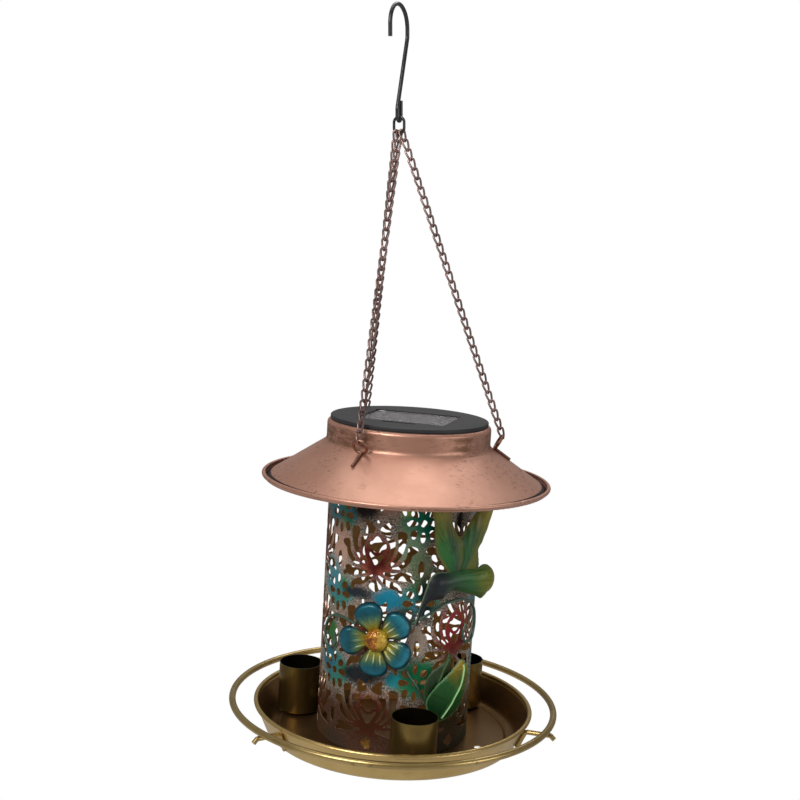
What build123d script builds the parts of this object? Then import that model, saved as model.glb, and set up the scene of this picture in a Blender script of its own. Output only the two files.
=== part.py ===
from build123d import *
import os
from math import atan2, cos, degrees, pi, radians, sin, sqrt, tan

# Hanging solar lantern bird feeder.  Millimetres, +Z up, origin at the centre of the
# tray's foot.  -Y is the front, +X the right-hand side as seen from the front.

# ---- general fits -----------------------------------------------------------------
SEAT_GAP = 0.05        # between pieces of one body that rest on each other
MOVE_GAP = 0.35        # between pieces of different bodies
HOLE_GAP = 0.10        # radial, screw or rivet shank in a sheet hole

# ---- tray -------------------------------------------------------------------------
TRAY_SHEET = 0.8
TRAY_RIM_R = 104.6     # centre of the rolled bead
TRAY_RIM_Z = 22.5
TRAY_BEAD_R = 1.7
TRAY_CORNER_R = TRAY_RIM_R - 9.6    # where floor and wall would meet
TRAY_FOOT_R = TRAY_CORNER_R - 9.0   # inside this the floor is pressed up
TRAY_FLOOR_LIFT = 1.6
TRAY_BEND_R = 7.0
DRAIN_HOLE_R = 3.0
DRAIN_RING_R = TRAY_FOOT_R - 14.0
DRAIN_AZIMUTHS = (-25, 95, 215)

# ---- cups on the tray -------------------------------------------------------------
CUP_R = 16.8
CUP_HEIGHT = 38.5
CUP_WALL = 0.6
CUP_BASE_R = 3.0
CUP_RING_R = TRAY_FOOT_R - 8.5
CUP_AZIMUTHS = {"front": -78, "rear": 46, "left": 162}
RIVET_R = 1.5
RIVET_HEAD_R = 3.0
RIVET_HEAD_H = 1.1

# ---- perch ------------------------------------------------------------------------
PERCH_RING_R = TRAY_RIM_R + 17.9
PERCH_TUBE_R = 2.5
PERCH_Z = 24.0
BRACKET_WIRE_R = 1.8
BRACKET_AZIMUTHS = {"right": -20, "rear": 101, "left": -139}
BRACKET_OVERHANG = 4.0
BRACKET_DROP = 2.6
BRACKET_KNEE_BEND = 3.0

# ---- filigree screen --------------------------------------------------------------
SCREEN_R = 57.4
SCREEN_SHEET = 0.5
SCREEN_TOP_Z = 212.0
SCREEN_COLUMNS = 11
SCREEN_ROW_PITCH = 29.35
SCREEN_FIRST_ROW_Z = 28.6
SCREEN_ROWS = 6
CUTOUT_HEIGHT = 22.0
CUTOUT_WIDTH = 0.4575 * 2 * pi * SCREEN_R / SCREEN_COLUMNS
FOOT_TAB_AZIMUTHS = (-110, 10, 130)
FOOT_TAB_WIDTH = 9.0
FOOT_TAB_LEG = 10.0
FOOT_TAB_SHEET = 0.8
SCREW_R = 1.5
SCREW_HEAD_R = 2.8
SCREW_HEAD_H = 1.1
NUT_R = 2.9
NUT_H = 2.2

# ---- roof -------------------------------------------------------------------------
ROOF_SHEET = 0.7
NECK_R = 61.2          # outside of the neck
NECK_TOP_Z = 239.9
NECK_CURL_R = 57.2     # opening inside the neck's inward curl
NECK_CURL_BEND = 2.4
CONE_TOP_Z = 224.3     # where neck and cone would meet
CONE_BEND_R = 5.0
EAVES_FOLD_R = 105.6
EAVES_FOLD_Z = 194.4
EAVES_LIP_R = EAVES_FOLD_R + 0.9    # centre of the rolled bead round the gutter
EAVES_LIP_Z = 197.4
EAVES_BEAD_R = 1.5
CLIP_AZIMUTHS = (-90, 30, 150)
CLIP_WIDTH = 12.0
CLIP_SHEET = 0.8
CLIP_LEG = 11.0
CLIP_WING = 13.0

# ---- chain anchors on the roof ----------------------------------------------------
ANCHOR_WIRE_R = 1.1
ANCHOR_EYE_R = 5.4
ANCHOR_ROOT_R = 64.6
ANCHOR_TAIL = 15.0
ANCHOR_LEAN = 29.0     # eye leans outwards from upright, degrees
ANCHOR_JOIN_TURN = 17.0  # where the eye's own wire ends meet, round from its top, degrees
ANCHOR_AZIMUTHS = {"right": 0, "rear": 120, "front": -120}

# ---- chains, gather ring and hook -------------------------------------------------
APEX = (-20.0, 0.0, 449.8)   # bottom wire of the gather ring, off centre by one short link
LEAN = -3.4                  # hook and ring hang this far from the lantern's axis, degrees
HOOK_TURN = 67.6             # the hook's flat plane, turned from X about Z
LINK_WIRE_R = 0.7
LINK_INNER_WIDTH = 3.2
LINK_PITCH = 7.25
LINK_SLACK = 0.10
LINK_PLACES = {"right": -34, "rear": 34, "front": 0}   # round the ring's bottom bend, degrees
RING_WIRE_R = 1.0
RING_BEND_R = 4.0
RING_HEIGHT = 12.0     # between top and bottom wire centres
HOOK_WIRE_R = 1.5
HOOK_EYE_BEND = 3.0
HOOK_EYE_HEIGHT = 14.5
HOOK_ARC_R = 15.5
HOOK_ARC_Z = 66.5      # arc centre above the eye's bottom wire
HOOK_TIP_DROP = 9.0
HOOK_ELBOW_RISE = 6.0
HOOK_ELBOW_BEND = 8.0
HOOK_SHOULDER_DROP = 6.0

# ---- solar light unit -------------------------------------------------------------
GASKET_T = 0.8
LID_R = 59.0
LID_T = 2.4
LID_EDGE_ROUND = 0.8
SKIRT_R = 56.6
SKIRT_WALL = 2.0
SKIRT_DEPTH = 9.0
PANEL_TURN = -14.5
PANEL_X = 66.0
PANEL_Y = 54.0
PANEL_POCKET = 2.6
POCKET_WALL = 2.0
CELL_T = 1.0
COVER_T = 0.6
CELL_GAP = 0.2
SLOT_LENGTH = 26.0
SLOT_WIDTH = 4.4
SLOT_DEPTH = 1.4
SLOT_OFFSET = 32.2
KNOB_TRAVEL = 3.0
KNOB_X = 4.5
KNOB_Y = 2.6
KNOB_H = 1.0
STEM_SIZE = 1.4
STEM_LENGTH = 3.4
SWITCH_X = 13.0
SWITCH_Y = 5.6
SWITCH_Z = 4.5
HOUSING_R = 49.5
HOUSING_WALL = 1.8
HOUSING_DEPTH = 26.0
FLANGE_R = 54.2
FLANGE_T = 2.0
FLANGE_SCREW_R = 1.1
FLANGE_SCREW_RING = 52.0
BATTERY_R = 7.25
BATTERY_LENGTH = 50.0
BATTERY_Y = -14.0
CONTACT_T = 0.5
BOARD_X = 60.0
BOARD_Y = 26.0
BOARD_T = 1.6
BOARD_Y_CENTRE = 18.0
BOARD_LIFT = 11.5
PILLAR_R = 2.5
LED_R = 2.5
LED_LENGTH = 8.7
LED_Y = 12.0
DOOR_X = 58.0
DOOR_Y = 20.0
DOOR_T = 1.6
DOOR_TRAVEL = 10.0
RAIL_LIP = 1.4

# ---- ornaments --------------------------------------------------------------------
ORNAMENT_SHEET = 0.8
WIRE_R = 1.0
WIRE_STANDOFF = 3.2    # vine wire centre in front of the screen
VINE_BEND = 14.0       # largest bend radius in a vine
FLOWER_AZIMUTH = -12.3
FLOWER_STANDOFF = 8.6
FLOWER_Z = 91.7
FLOWER_POST_X = 4.6
PETAL_TURNS = (40, 111, 188, 266, 330)
PETAL_REACH = 17.0
PETAL_R = 10.0
FLOWER_DOME_R = 8.0
BIRD_AZIMUTH = 33.0
BIRD_STANDOFF = 9.0
LEAF_AZIMUTH = 42.0
LEAF_STANDOFF = 5.0
POST_R = 1.2
BIRD_BODY_OUTLINE = [
    (-27.5, 105), (-27, 113), (-25, 120), (-22.5, 127), (-20.5, 133), (-18.5, 138), (-15, 141.3), (-10, 142.6),
    (-5, 142.4), (0, 143), (8, 144), (16, 144), (23.5, 143.2), (26, 144.6), (30, 144.8), (34, 142.5), (37, 139),
    (38.6, 134), (37.4, 128), (35, 125), (33, 123.8), (30, 121), (27, 119.5), (24, 121), (20, 122.8), (15, 124),
    (5, 127), (0, 127.2), (-6, 122.5), (-12, 122), (-17, 121.5), (-21, 117.5), (-24.5, 111.5),
]
BIRD_WING_OUTLINE = [
    (-18, 192), (-17.6, 176), (-16.5, 165), (-13.5, 155), (-10, 150), (-5, 143.5), (0, 139), (8, 136), (16, 138),
    (22, 142), (23, 144), (22.3, 150), (21.6, 156), (24.5, 161.5), (26.3, 166), (28.5, 171), (30.2, 177),
    (31.7, 182), (32.5, 192), (22, 192), (19, 186), (14.5, 180), (9, 173), (4.5, 167.5), (1, 171.5), (-2.5, 178),
    (-4, 186), (-4.5, 192),
]
BIRD_POSTS = [(-4, 134), (4, 140)]
LEAF_FRONT_OUTLINE = [
    (-9.5, 29.5), (-17, 35), (-21.5, 41), (-22.3, 46), (-20.5, 50.5), (-17, 55), (-12, 59), (-5, 63.5), (0, 66.5),
    (4, 69.5), (8.5, 72.7), (12.5, 69.5), (15.5, 65), (16, 60), (14, 55), (11.5, 45), (8, 37), (2, 31.5),
]
LEAF_BACK_OUTLINE = [
    (-16, 38), (-24, 52), (-22, 62), (-17.5, 67.5), (-11, 70.3), (-5, 72.8), (-0.5, 77.5), (1, 70), (-2, 60),
    (-8, 48),
]
VINE_LEFT = [
    (-29.6, 98.4), (-40, 101), (-50, 100.9), (-58.5, 93.8), (-62, 82), (-54, 73.1), (-46, 80), (-48.9, 87.3),
]
VINE_RIGHT = [
    (7, 101.3), (21.9, 110.3), (33, 116.6), (46, 118.4), (59, 115), (68, 106), (71, 94), (66, 83), (56, 83),
    (51.6, 91.4), (55, 98),
]
STEM = [(7.6, 67.6), (16, 56), (23.9, 42.2)]

# ---- sizes that follow ------------------------------------------------------------
FLOOR_TOP = TRAY_FLOOR_LIFT + TRAY_SHEET
CUP_RIM_Z = FLOOR_TOP + SEAT_GAP + CUP_HEIGHT
SCREEN_FOOT_Z = FLOOR_TOP + SEAT_GAP
SCREEN_INNER_R = SCREEN_R - SCREEN_SHEET
NECK_MID_R = NECK_R - ROOF_SHEET / 2
CONE_SLOPE = (CONE_TOP_Z - EAVES_FOLD_Z) / (EAVES_FOLD_R - NECK_MID_R)
CONE_ANGLE = degrees(atan2(CONE_SLOPE, 1.0))
LID_Z = NECK_TOP_Z + GASKET_T + 2 * SEAT_GAP
LID_TOP_Z = LID_Z + LID_T
POCKET_Z = LID_TOP_Z - PANEL_POCKET
HOUSING_TOP_Z = LID_Z - SEAT_GAP
HOUSING_FLOOR_Z = HOUSING_TOP_Z - HOUSING_DEPTH
BOARD_Z = HOUSING_FLOOR_Z + HOUSING_WALL + BOARD_LIFT
FRONT = -90.0


def polar(radius, azimuth, z=0.0):
    """Point at a radius and an azimuth in degrees, counted from +X towards +Y."""
    return Vector(radius * cos(radians(azimuth)), radius * sin(radians(azimuth)), z)


def sheet_revolved(path, thickness):
    """Full turn of a pressed sheet whose middle line is path, drawn as (radius, z)."""
    return revolve(Plane.XZ * trace(path, line_width=thickness), Axis.Z)


def wire_along(path, radius):
    """Round wire with its centre on path."""
    section = Plane(origin=path @ 0, z_dir=path % 0) * Circle(radius)
    return sweep(section, path=path)


def cone_z(radius):
    """Height of the roof cone's outer face at a radius."""
    return CONE_TOP_Z - CONE_SLOPE * (radius - NECK_MID_R) + ROOF_SHEET / 2 / cos(radians(CONE_ANGLE))


def cone_under_z(radius):
    """Height of the roof cone's inner face at a radius."""
    return cone_z(radius) - ROOF_SHEET / cos(radians(CONE_ANGLE))


def hypot_side(radius, half_width):
    """How far a flat strip's face stands from the axis when its edges touch a round wall inside."""
    return sqrt(radius**2 - half_width**2)


def outward_plane(radius, turn, z):
    """Upright plane facing outwards, its X to the right; turn counts from the front."""
    azimuth = FRONT + turn
    return Plane(origin=polar(radius, azimuth, z), x_dir=polar(1, azimuth + 90), z_dir=polar(1, azimuth))


parts = {}
LOW = (Align.CENTER, Align.CENTER, Align.MIN)

# ---- tray -------------------------------------------------------------------------
half = TRAY_SHEET / 2
tray_path = FilletPolyline(
    (0, TRAY_FLOOR_LIFT + half),
    (TRAY_FOOT_R, TRAY_FLOOR_LIFT + half),
    (TRAY_FOOT_R + 2, half),
    (TRAY_CORNER_R, half),
    (TRAY_RIM_R, TRAY_RIM_Z),
    radius=(0.9, 0.9, TRAY_BEND_R),
)
tray = sheet_revolved(tray_path, TRAY_SHEET)
tray += Pos(0, 0, TRAY_RIM_Z) * Torus(TRAY_RIM_R, TRAY_BEAD_R)
for azimuth in DRAIN_AZIMUTHS:
    tray -= Pos(*polar(DRAIN_RING_R, azimuth, FLOOR_TOP)) * Cylinder(DRAIN_HOLE_R, 4 * TRAY_SHEET)

# ---- cups and the rivets that hold them -------------------------------------------
cup_blank = Cylinder(CUP_R, CUP_HEIGHT, align=LOW)
cup_blank = fillet(cup_blank.edges().group_by(Axis.Z)[0], CUP_BASE_R)
cup_inner = Cylinder(CUP_R - CUP_WALL, CUP_HEIGHT, align=LOW)
cup_inner = fillet(cup_inner.edges().group_by(Axis.Z)[0], CUP_BASE_R - CUP_WALL)
cup = cup_blank - Pos(0, 0, CUP_WALL) * cup_inner
cup -= Cylinder(RIVET_R + HOLE_GAP, 6 * CUP_WALL)

rivet_foot = TRAY_FLOOR_LIFT - SEAT_GAP
rivet_seat = FLOOR_TOP + CUP_WALL + 2 * SEAT_GAP
rivet = Pos(0, 0, rivet_foot - RIVET_HEAD_H) * Cylinder(
    RIVET_HEAD_R, RIVET_HEAD_H, align=LOW
)
rivet += Pos(0, 0, rivet_foot) * Cylinder(
    RIVET_R, rivet_seat - rivet_foot, align=LOW
)
rivet += Pos(0, 0, rivet_seat) * Cylinder(
    RIVET_HEAD_R, RIVET_HEAD_H, align=LOW
)
rivets = []
for name, azimuth in CUP_AZIMUTHS.items():
    place = polar(CUP_RING_R, azimuth)
    parts["cup_" + name] = Pos(place.X, place.Y, FLOOR_TOP + SEAT_GAP) * cup
    rivets.append(Pos(place.X, place.Y, 0) * rivet)
    tray -= Pos(place.X, place.Y, FLOOR_TOP) * Cylinder(RIVET_R + HOLE_GAP, 4 * TRAY_SHEET)
parts["cup_rivets"] = Compound(children=rivets)

# ---- perch ring and its three bent-wire brackets ----------------------------------
parts["perch_ring"] = Pos(0, 0, PERCH_Z) * Torus(PERCH_RING_R, PERCH_TUBE_R)
wall_slope = atan2(TRAY_RIM_Z - half, TRAY_RIM_R - TRAY_CORNER_R)
wall_clear = (half + BRACKET_WIRE_R + SEAT_GAP) / sin(wall_slope)
leg_low_z = BRACKET_WIRE_R + TRAY_BEND_R * 0.6
knee_z = TRAY_RIM_Z - TRAY_BEAD_R - BRACKET_WIRE_R - 0.3


def wall_r(z):
    """Radius of the bracket leg's centre, outside the tray wall, at a height."""
    return TRAY_CORNER_R + (z - half) * cos(wall_slope) / sin(wall_slope) + wall_clear


under_ring_z = PERCH_Z - PERCH_TUBE_R - BRACKET_WIRE_R - SEAT_GAP
bracket_path = FilletPolyline(
    (wall_r(leg_low_z), leg_low_z),
    (wall_r(knee_z), knee_z),
    (PERCH_RING_R + 2.0, under_ring_z),
    (PERCH_RING_R + BRACKET_OVERHANG + 1.0, under_ring_z - BRACKET_DROP),
    radius=(BRACKET_KNEE_BEND, 1.2),
)
bracket_section = Plane(origin=(Plane.XZ * bracket_path) @ 0, z_dir=(Plane.XZ * bracket_path) % 0)
bracket = sweep(bracket_section * Circle(BRACKET_WIRE_R), path=Plane.XZ * bracket_path)
for name, azimuth in BRACKET_AZIMUTHS.items():
    parts["perch_bracket_" + name] = Rot(0, 0, azimuth) * bracket

# ---- filigree screen --------------------------------------------------------------
screen_height = SCREEN_TOP_Z - SCREEN_FOOT_Z
screen = Pos(0, 0, SCREEN_FOOT_Z) * (
    Cylinder(SCREEN_R, screen_height, align=LOW)
    - Cylinder(SCREEN_INNER_R, screen_height, align=LOW)
)
column_step = 360 / SCREEN_COLUMNS
cutouts = []
for row in range(SCREEN_ROWS):
    for column in range(SCREEN_COLUMNS):
        turn = -17.5 + column * column_step + (row % 2) * column_step / 2
        plane = outward_plane(SCREEN_R, turn, SCREEN_FIRST_ROW_Z + row * SCREEN_ROW_PITCH)
        opening = plane * Ellipse(CUTOUT_WIDTH / 2, CUTOUT_HEIGHT / 2)
        cutouts.append(extrude(opening, amount=4, both=True))

# ---- tabs that hold the screen on the tray ----------------------------------------
tabs, tab_screws, tab_nuts = [], [], []
for azimuth in FOOT_TAB_AZIMUTHS:
    leg_r = hypot_side(SCREEN_INNER_R - SEAT_GAP, FOOT_TAB_WIDTH / 2) - FOOT_TAB_SHEET / 2
    foot_z = FLOOR_TOP + SEAT_GAP + FOOT_TAB_SHEET / 2
    tab_path = Polyline((leg_r, foot_z + FOOT_TAB_LEG), (leg_r, foot_z), (leg_r - FOOT_TAB_LEG, foot_z))
    tab_face = Plane.XZ * trace(tab_path, line_width=FOOT_TAB_SHEET)
    tab = extrude(tab_face, amount=FOOT_TAB_WIDTH / 2, both=True)
    screw_r = leg_r - FOOT_TAB_LEG * 0.55
    hole = Pos(screw_r, 0, FLOOR_TOP) * Cylinder(SCREW_R + HOLE_GAP, 8)
    tab_top = foot_z + FOOT_TAB_SHEET / 2
    head_z = TRAY_FLOOR_LIFT - SEAT_GAP
    screw = Pos(screw_r, 0, head_z - SCREW_HEAD_H) * Cylinder(
        SCREW_HEAD_R, SCREW_HEAD_H, align=LOW
    )
    screw += Pos(screw_r, 0, head_z) * Cylinder(
        SCREW_R, tab_top + NUT_H + 1.0 - head_z, align=LOW
    )
    nut = extrude(RegularPolygon(NUT_R, 6) - Circle(SCREW_R + SEAT_GAP), amount=NUT_H)
    tray -= Rot(0, 0, azimuth) * hole
    tabs.append(Rot(0, 0, azimuth) * (tab - hole))
    tab_screws.append(Rot(0, 0, azimuth) * screw)
    tab_nuts.append(Rot(0, 0, azimuth) * Pos(screw_r, 0, tab_top + SEAT_GAP) * nut)
parts["screen_tabs"] = Compound(children=tabs)
parts["tab_screws"] = Compound(children=tab_screws)
parts["tab_nuts"] = Compound(children=tab_nuts)
parts["tray_dish"] = tray

# ---- roof -------------------------------------------------------------------------
neck_top_mid = NECK_TOP_Z - ROOF_SHEET / 2
roof_path = FilletPolyline(
    (NECK_CURL_R, neck_top_mid),
    (NECK_MID_R, neck_top_mid),
    (NECK_MID_R, CONE_TOP_Z),
    (EAVES_FOLD_R, EAVES_FOLD_Z),
    (EAVES_LIP_R, EAVES_LIP_Z),
    radius=(NECK_CURL_BEND, CONE_BEND_R, 0.8),
)
eaves_bead = Pos(0, 0, EAVES_LIP_Z) * Torus(EAVES_LIP_R, EAVES_BEAD_R)
parts["roof_shell"] = sheet_revolved(roof_path, ROOF_SHEET) + eaves_bead

# ---- clips between the roof's underside and the top of the screen ------------------
clips, clip_screws, clip_nuts = [], [], []
clip_leg_r = SCREEN_R + SEAT_GAP + CLIP_SHEET / 2
clip_bend_r = clip_leg_r + 7.0
wing_crown = sqrt(clip_bend_r**2 + (CLIP_WIDTH / 2) ** 2) - clip_bend_r
wing_gap = (CLIP_SHEET / 2 + SEAT_GAP) / cos(radians(CONE_ANGLE)) + wing_crown * CONE_SLOPE
clip_bend_z = cone_under_z(clip_bend_r) - wing_gap
clip_leg_z = SCREEN_TOP_Z - 12.0
for azimuth in CLIP_AZIMUTHS:
    wing_end_r = clip_bend_r + CLIP_WING * cos(radians(CONE_ANGLE))
    clip_path = Polyline(
        (clip_leg_r, clip_leg_z - CLIP_LEG / 2),
        (clip_leg_r, clip_leg_z + CLIP_LEG / 2),
        (clip_bend_r, clip_bend_z),
        (wing_end_r, cone_under_z(wing_end_r) - wing_gap),
    )
    clip = extrude(Plane.XZ * trace(clip_path, line_width=CLIP_SHEET), amount=CLIP_WIDTH / 2, both=True)
    across = Pos(SCREEN_R, 0, clip_leg_z) * Rot(0, 90, 0)
    hole = across * Cylinder(SCREW_R + HOLE_GAP, 10)
    cutouts.append(Rot(0, 0, azimuth) * hole)
    head_x = CLIP_SHEET + 2 * SEAT_GAP
    screw = across * Pos(0, 0, head_x) * Cylinder(
        SCREW_HEAD_R, SCREW_HEAD_H, align=LOW
    )
    screw += across * Pos(0, 0, head_x - 5.0) * Cylinder(
        SCREW_R, 5.0, align=LOW
    )
    nut_x = SCREEN_R - hypot_side(SCREEN_INNER_R - SEAT_GAP, NUT_R) + NUT_H
    nut = across * Pos(0, 0, -nut_x) * extrude(
        RegularPolygon(NUT_R, 6) - Circle(SCREW_R + SEAT_GAP), amount=NUT_H
    )
    clips.append(Rot(0, 0, azimuth) * (clip - hole))
    clip_screws.append(Rot(0, 0, azimuth) * screw)
    clip_nuts.append(Rot(0, 0, azimuth) * nut)
parts["roof_clips"] = Compound(children=clips)
parts["clip_screws"] = Compound(children=clip_screws)
parts["clip_nuts"] = Compound(children=clip_nuts)

# ---- chain anchors: a wire eye with a tail brazed down the cone --------------------
tail_lift = (ANCHOR_WIRE_R + SEAT_GAP) / cos(radians(CONE_ANGLE))
root = Vector(ANCHOR_ROOT_R, 0, cone_z(ANCHOR_ROOT_R) + tail_lift)
tail_dir = Vector(cos(radians(CONE_ANGLE)), 0, -sin(radians(CONE_ANGLE)))
eye_up = Vector(sin(radians(ANCHOR_LEAN)), 0, cos(radians(ANCHOR_LEAN)))
eye_centre = root + eye_up * ANCHOR_EYE_R
eye_normal = Vector(cos(radians(ANCHOR_LEAN)), 0, -sin(radians(ANCHOR_LEAN)))
eye_frame = Plane(origin=eye_centre, x_dir=eye_up, z_dir=eye_normal)
anchor = eye_frame * Rot(0, 0, ANCHOR_JOIN_TURN) * Torus(ANCHOR_EYE_R, ANCHOR_WIRE_R)
tail_start = root - tail_dir * (ANCHOR_WIRE_R / 2)
anchor += Plane(origin=tail_start, z_dir=tail_dir) * Cylinder(ANCHOR_WIRE_R, ANCHOR_TAIL, align=LOW)
eye_top = root + eye_up * (2 * ANCHOR_EYE_R)
for name, azimuth in ANCHOR_AZIMUTHS.items():
    parts["roof_anchor_" + name] = Rot(0, 0, azimuth) * anchor

# ---- hook and gather ring, drawn upright at the apex and then leaned ---------------
upright = Location(APEX) * Location((0, 0, 0), (0, LEAN, 0)) * Location((0, 0, 0), (0, 0, HOOK_TURN))
# In this local frame the hook lies in XZ and the ring in YZ.
ring_top_z = RING_HEIGHT
wire_rest = HOOK_WIRE_R + RING_WIRE_R + MOVE_GAP
eye_z = ring_top_z - wire_rest
ring_mid = Plane.YZ * Pos(0, RING_HEIGHT / 2) * SlotOverall(RING_HEIGHT, 2 * RING_BEND_R, rotation=90)
ring_wire = ring_mid.faces()[0].outer_wire()
parts["gather_ring"] = upright * sweep(
    Plane(origin=ring_wire @ 0, z_dir=ring_wire % 0) * Circle(RING_WIRE_R), path=ring_wire
)

arc_z = eye_z + HOOK_ARC_Z
bend_z = eye_z + HOOK_EYE_BEND
hook_path = (
    Line((HOOK_EYE_BEND, eye_z + HOOK_EYE_HEIGHT), (HOOK_EYE_BEND, bend_z))
    + ThreePointArc((HOOK_EYE_BEND, bend_z), (0, eye_z), (-HOOK_EYE_BEND, bend_z))
    + FilletPolyline(
        (-HOOK_EYE_BEND, bend_z),
        (-HOOK_EYE_BEND, bend_z + HOOK_ELBOW_RISE),
        (HOOK_ARC_R, arc_z - HOOK_SHOULDER_DROP),
        (HOOK_ARC_R, arc_z),
        radius=HOOK_ELBOW_BEND,
    )
    + ThreePointArc((HOOK_ARC_R, arc_z), (0, arc_z + HOOK_ARC_R), (-HOOK_ARC_R, arc_z))
    + Line((-HOOK_ARC_R, arc_z), (-HOOK_ARC_R, arc_z - HOOK_TIP_DROP))
)
hook_line = Plane.XZ * hook_path
hook_section = Plane(origin=hook_line @ 0, z_dir=hook_line % 0) * Circle(HOOK_WIRE_R)
parts["hanger_hook"] = upright * sweep(hook_section, path=hook_line)

# ---- chains -----------------------------------------------------------------------


def local_point(x, y, z):
    """Point of the upright hook frame, in the model's frame."""
    return (upright * Pos(x, y, z)).position


def chain(start, start_tangent, end, end_tangent):
    """Links between two wires, each link turned a quarter from the last one."""
    line = (end - start).normalized()
    span = (end - start).length + RING_WIRE_R + MOVE_GAP + ANCHOR_WIRE_R + SEAT_GAP - LINK_SLACK
    count = round(span / LINK_PITCH)
    pitch = span / count
    inner_length = pitch + LINK_SLACK
    bend_r = (LINK_INNER_WIDTH + 2 * LINK_WIRE_R) / 2
    outline = SlotOverall(inner_length + 2 * LINK_WIRE_R, 2 * bend_r).faces()[0].outer_wire()
    link = sweep(Plane(origin=outline @ 0, z_dir=outline % 0) * Circle(LINK_WIRE_R), path=outline)
    first_normal = (start_tangent - line * start_tangent.dot(line)).normalized()
    last_normal = (end_tangent - line * end_tangent.dot(line)).normalized()
    across = line.cross(first_normal)
    twist = degrees(atan2(last_normal.dot(across), last_normal.dot(first_normal)))
    quarter_turns = 90.0 * (count - 1)
    residue = (twist - quarter_turns + 90.0) % 180.0 - 90.0
    step = (quarter_turns + residue) / (count - 1)
    links = []
    for index in range(count):
        centre = start + line * (index * pitch + inner_length / 2 - RING_WIRE_R - MOVE_GAP)
        frame = Plane(origin=centre, x_dir=line, z_dir=first_normal)
        links.append(frame.location * Rot(index * step, 0, 0) * link)
    return Compound(children=links)


for name, azimuth in ANCHOR_AZIMUTHS.items():
    place = radians(LINK_PLACES[name])
    start = local_point(0, RING_BEND_R * sin(place), RING_BEND_R * (1 - cos(place)))
    start_tangent = local_point(0, cos(place), sin(place)) - local_point(0, 0, 0)
    end = (Rot(0, 0, azimuth) * Pos(*eye_top)).position
    parts["chain_" + name] = chain(start, start_tangent, end, polar(1, azimuth + 90))

# ---- solar light unit: lid, panel, switch -----------------------------------------
panel_frame = Rot(0, 0, PANEL_TURN)
lid = Pos(0, 0, LID_Z) * Cylinder(LID_R, LID_T, align=LOW)
lid = fillet(lid.edges().group_by(Axis.Z)[-1], LID_EDGE_ROUND)
skirt = Cylinder(SKIRT_R, SKIRT_DEPTH, align=LOW) - Cylinder(SKIRT_R - SKIRT_WALL, SKIRT_DEPTH, align=LOW)
lid += Pos(0, 0, LID_Z - SKIRT_DEPTH) * skirt
pocket_block_x = PANEL_X + 2 * POCKET_WALL
pocket_block_y = PANEL_Y + 2 * POCKET_WALL
lid += panel_frame * Pos(0, 0, POCKET_Z - POCKET_WALL) * Box(
    pocket_block_x, pocket_block_y, LID_Z + POCKET_WALL - POCKET_Z, align=LOW
)
lid -= panel_frame * Pos(0, 0, POCKET_Z) * Box(PANEL_X, PANEL_Y, PANEL_POCKET, align=LOW)
slot_frame = panel_frame * Pos(0, -SLOT_OFFSET, 0)
slot_floor_z = LID_TOP_Z - SLOT_DEPTH
lid -= slot_frame * Pos(0, 0, slot_floor_z) * extrude(SlotOverall(SLOT_LENGTH, SLOT_WIDTH), amount=SLOT_DEPTH)
window_x = STEM_SIZE + KNOB_TRAVEL + 2 * MOVE_GAP
window_y = STEM_SIZE + 2 * MOVE_GAP
knob_rest = -KNOB_TRAVEL / 2
lid -= slot_frame * Box(window_x, window_y, 4 * LID_TOP_Z)
flange_screws = []
for quarter in range(4):
    place = polar(FLANGE_SCREW_RING, 45 + 90 * quarter, LID_Z)
    lid -= Pos(*place) * Cylinder(FLANGE_SCREW_R + SEAT_GAP, 2 * (LID_T - 0.8))
parts["solar_lid"] = lid

parts["lid_gasket"] = Pos(0, 0, NECK_TOP_Z + SEAT_GAP) * (
    Cylinder(LID_R - 0.6, GASKET_T, align=LOW) - Cylinder(SKIRT_R + SEAT_GAP, GASKET_T, align=LOW)
)
cell_x = PANEL_X - 2 * CELL_GAP
cell_y = PANEL_Y - 2 * CELL_GAP
parts["solar_cell"] = panel_frame * Pos(0, 0, POCKET_Z + SEAT_GAP) * Box(cell_x, cell_y, CELL_T, align=LOW)
parts["cell_cover"] = panel_frame * Pos(0, 0, POCKET_Z + CELL_T + 2 * SEAT_GAP) * Box(
    cell_x, cell_y, COVER_T, align=LOW
)

switch_top_z = LID_Z - SEAT_GAP
switch = Pos(0, 0, switch_top_z - SWITCH_Z) * Box(SWITCH_X, SWITCH_Y, SWITCH_Z, align=LOW)
switch -= Pos(0, 0, switch_top_z - SWITCH_Z + 0.8) * Box(window_x, window_y, SWITCH_Z, align=LOW)
parts["switch_body"] = slot_frame * switch
knob_z = slot_floor_z + MOVE_GAP
knob = Pos(knob_rest, 0, knob_z) * Box(KNOB_X, KNOB_Y, KNOB_H - MOVE_GAP, align=LOW)
knob += Pos(knob_rest, 0, knob_z - STEM_LENGTH) * Box(STEM_SIZE, STEM_SIZE, STEM_LENGTH, align=LOW)
parts["switch_knob"] = slot_frame * knob

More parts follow.
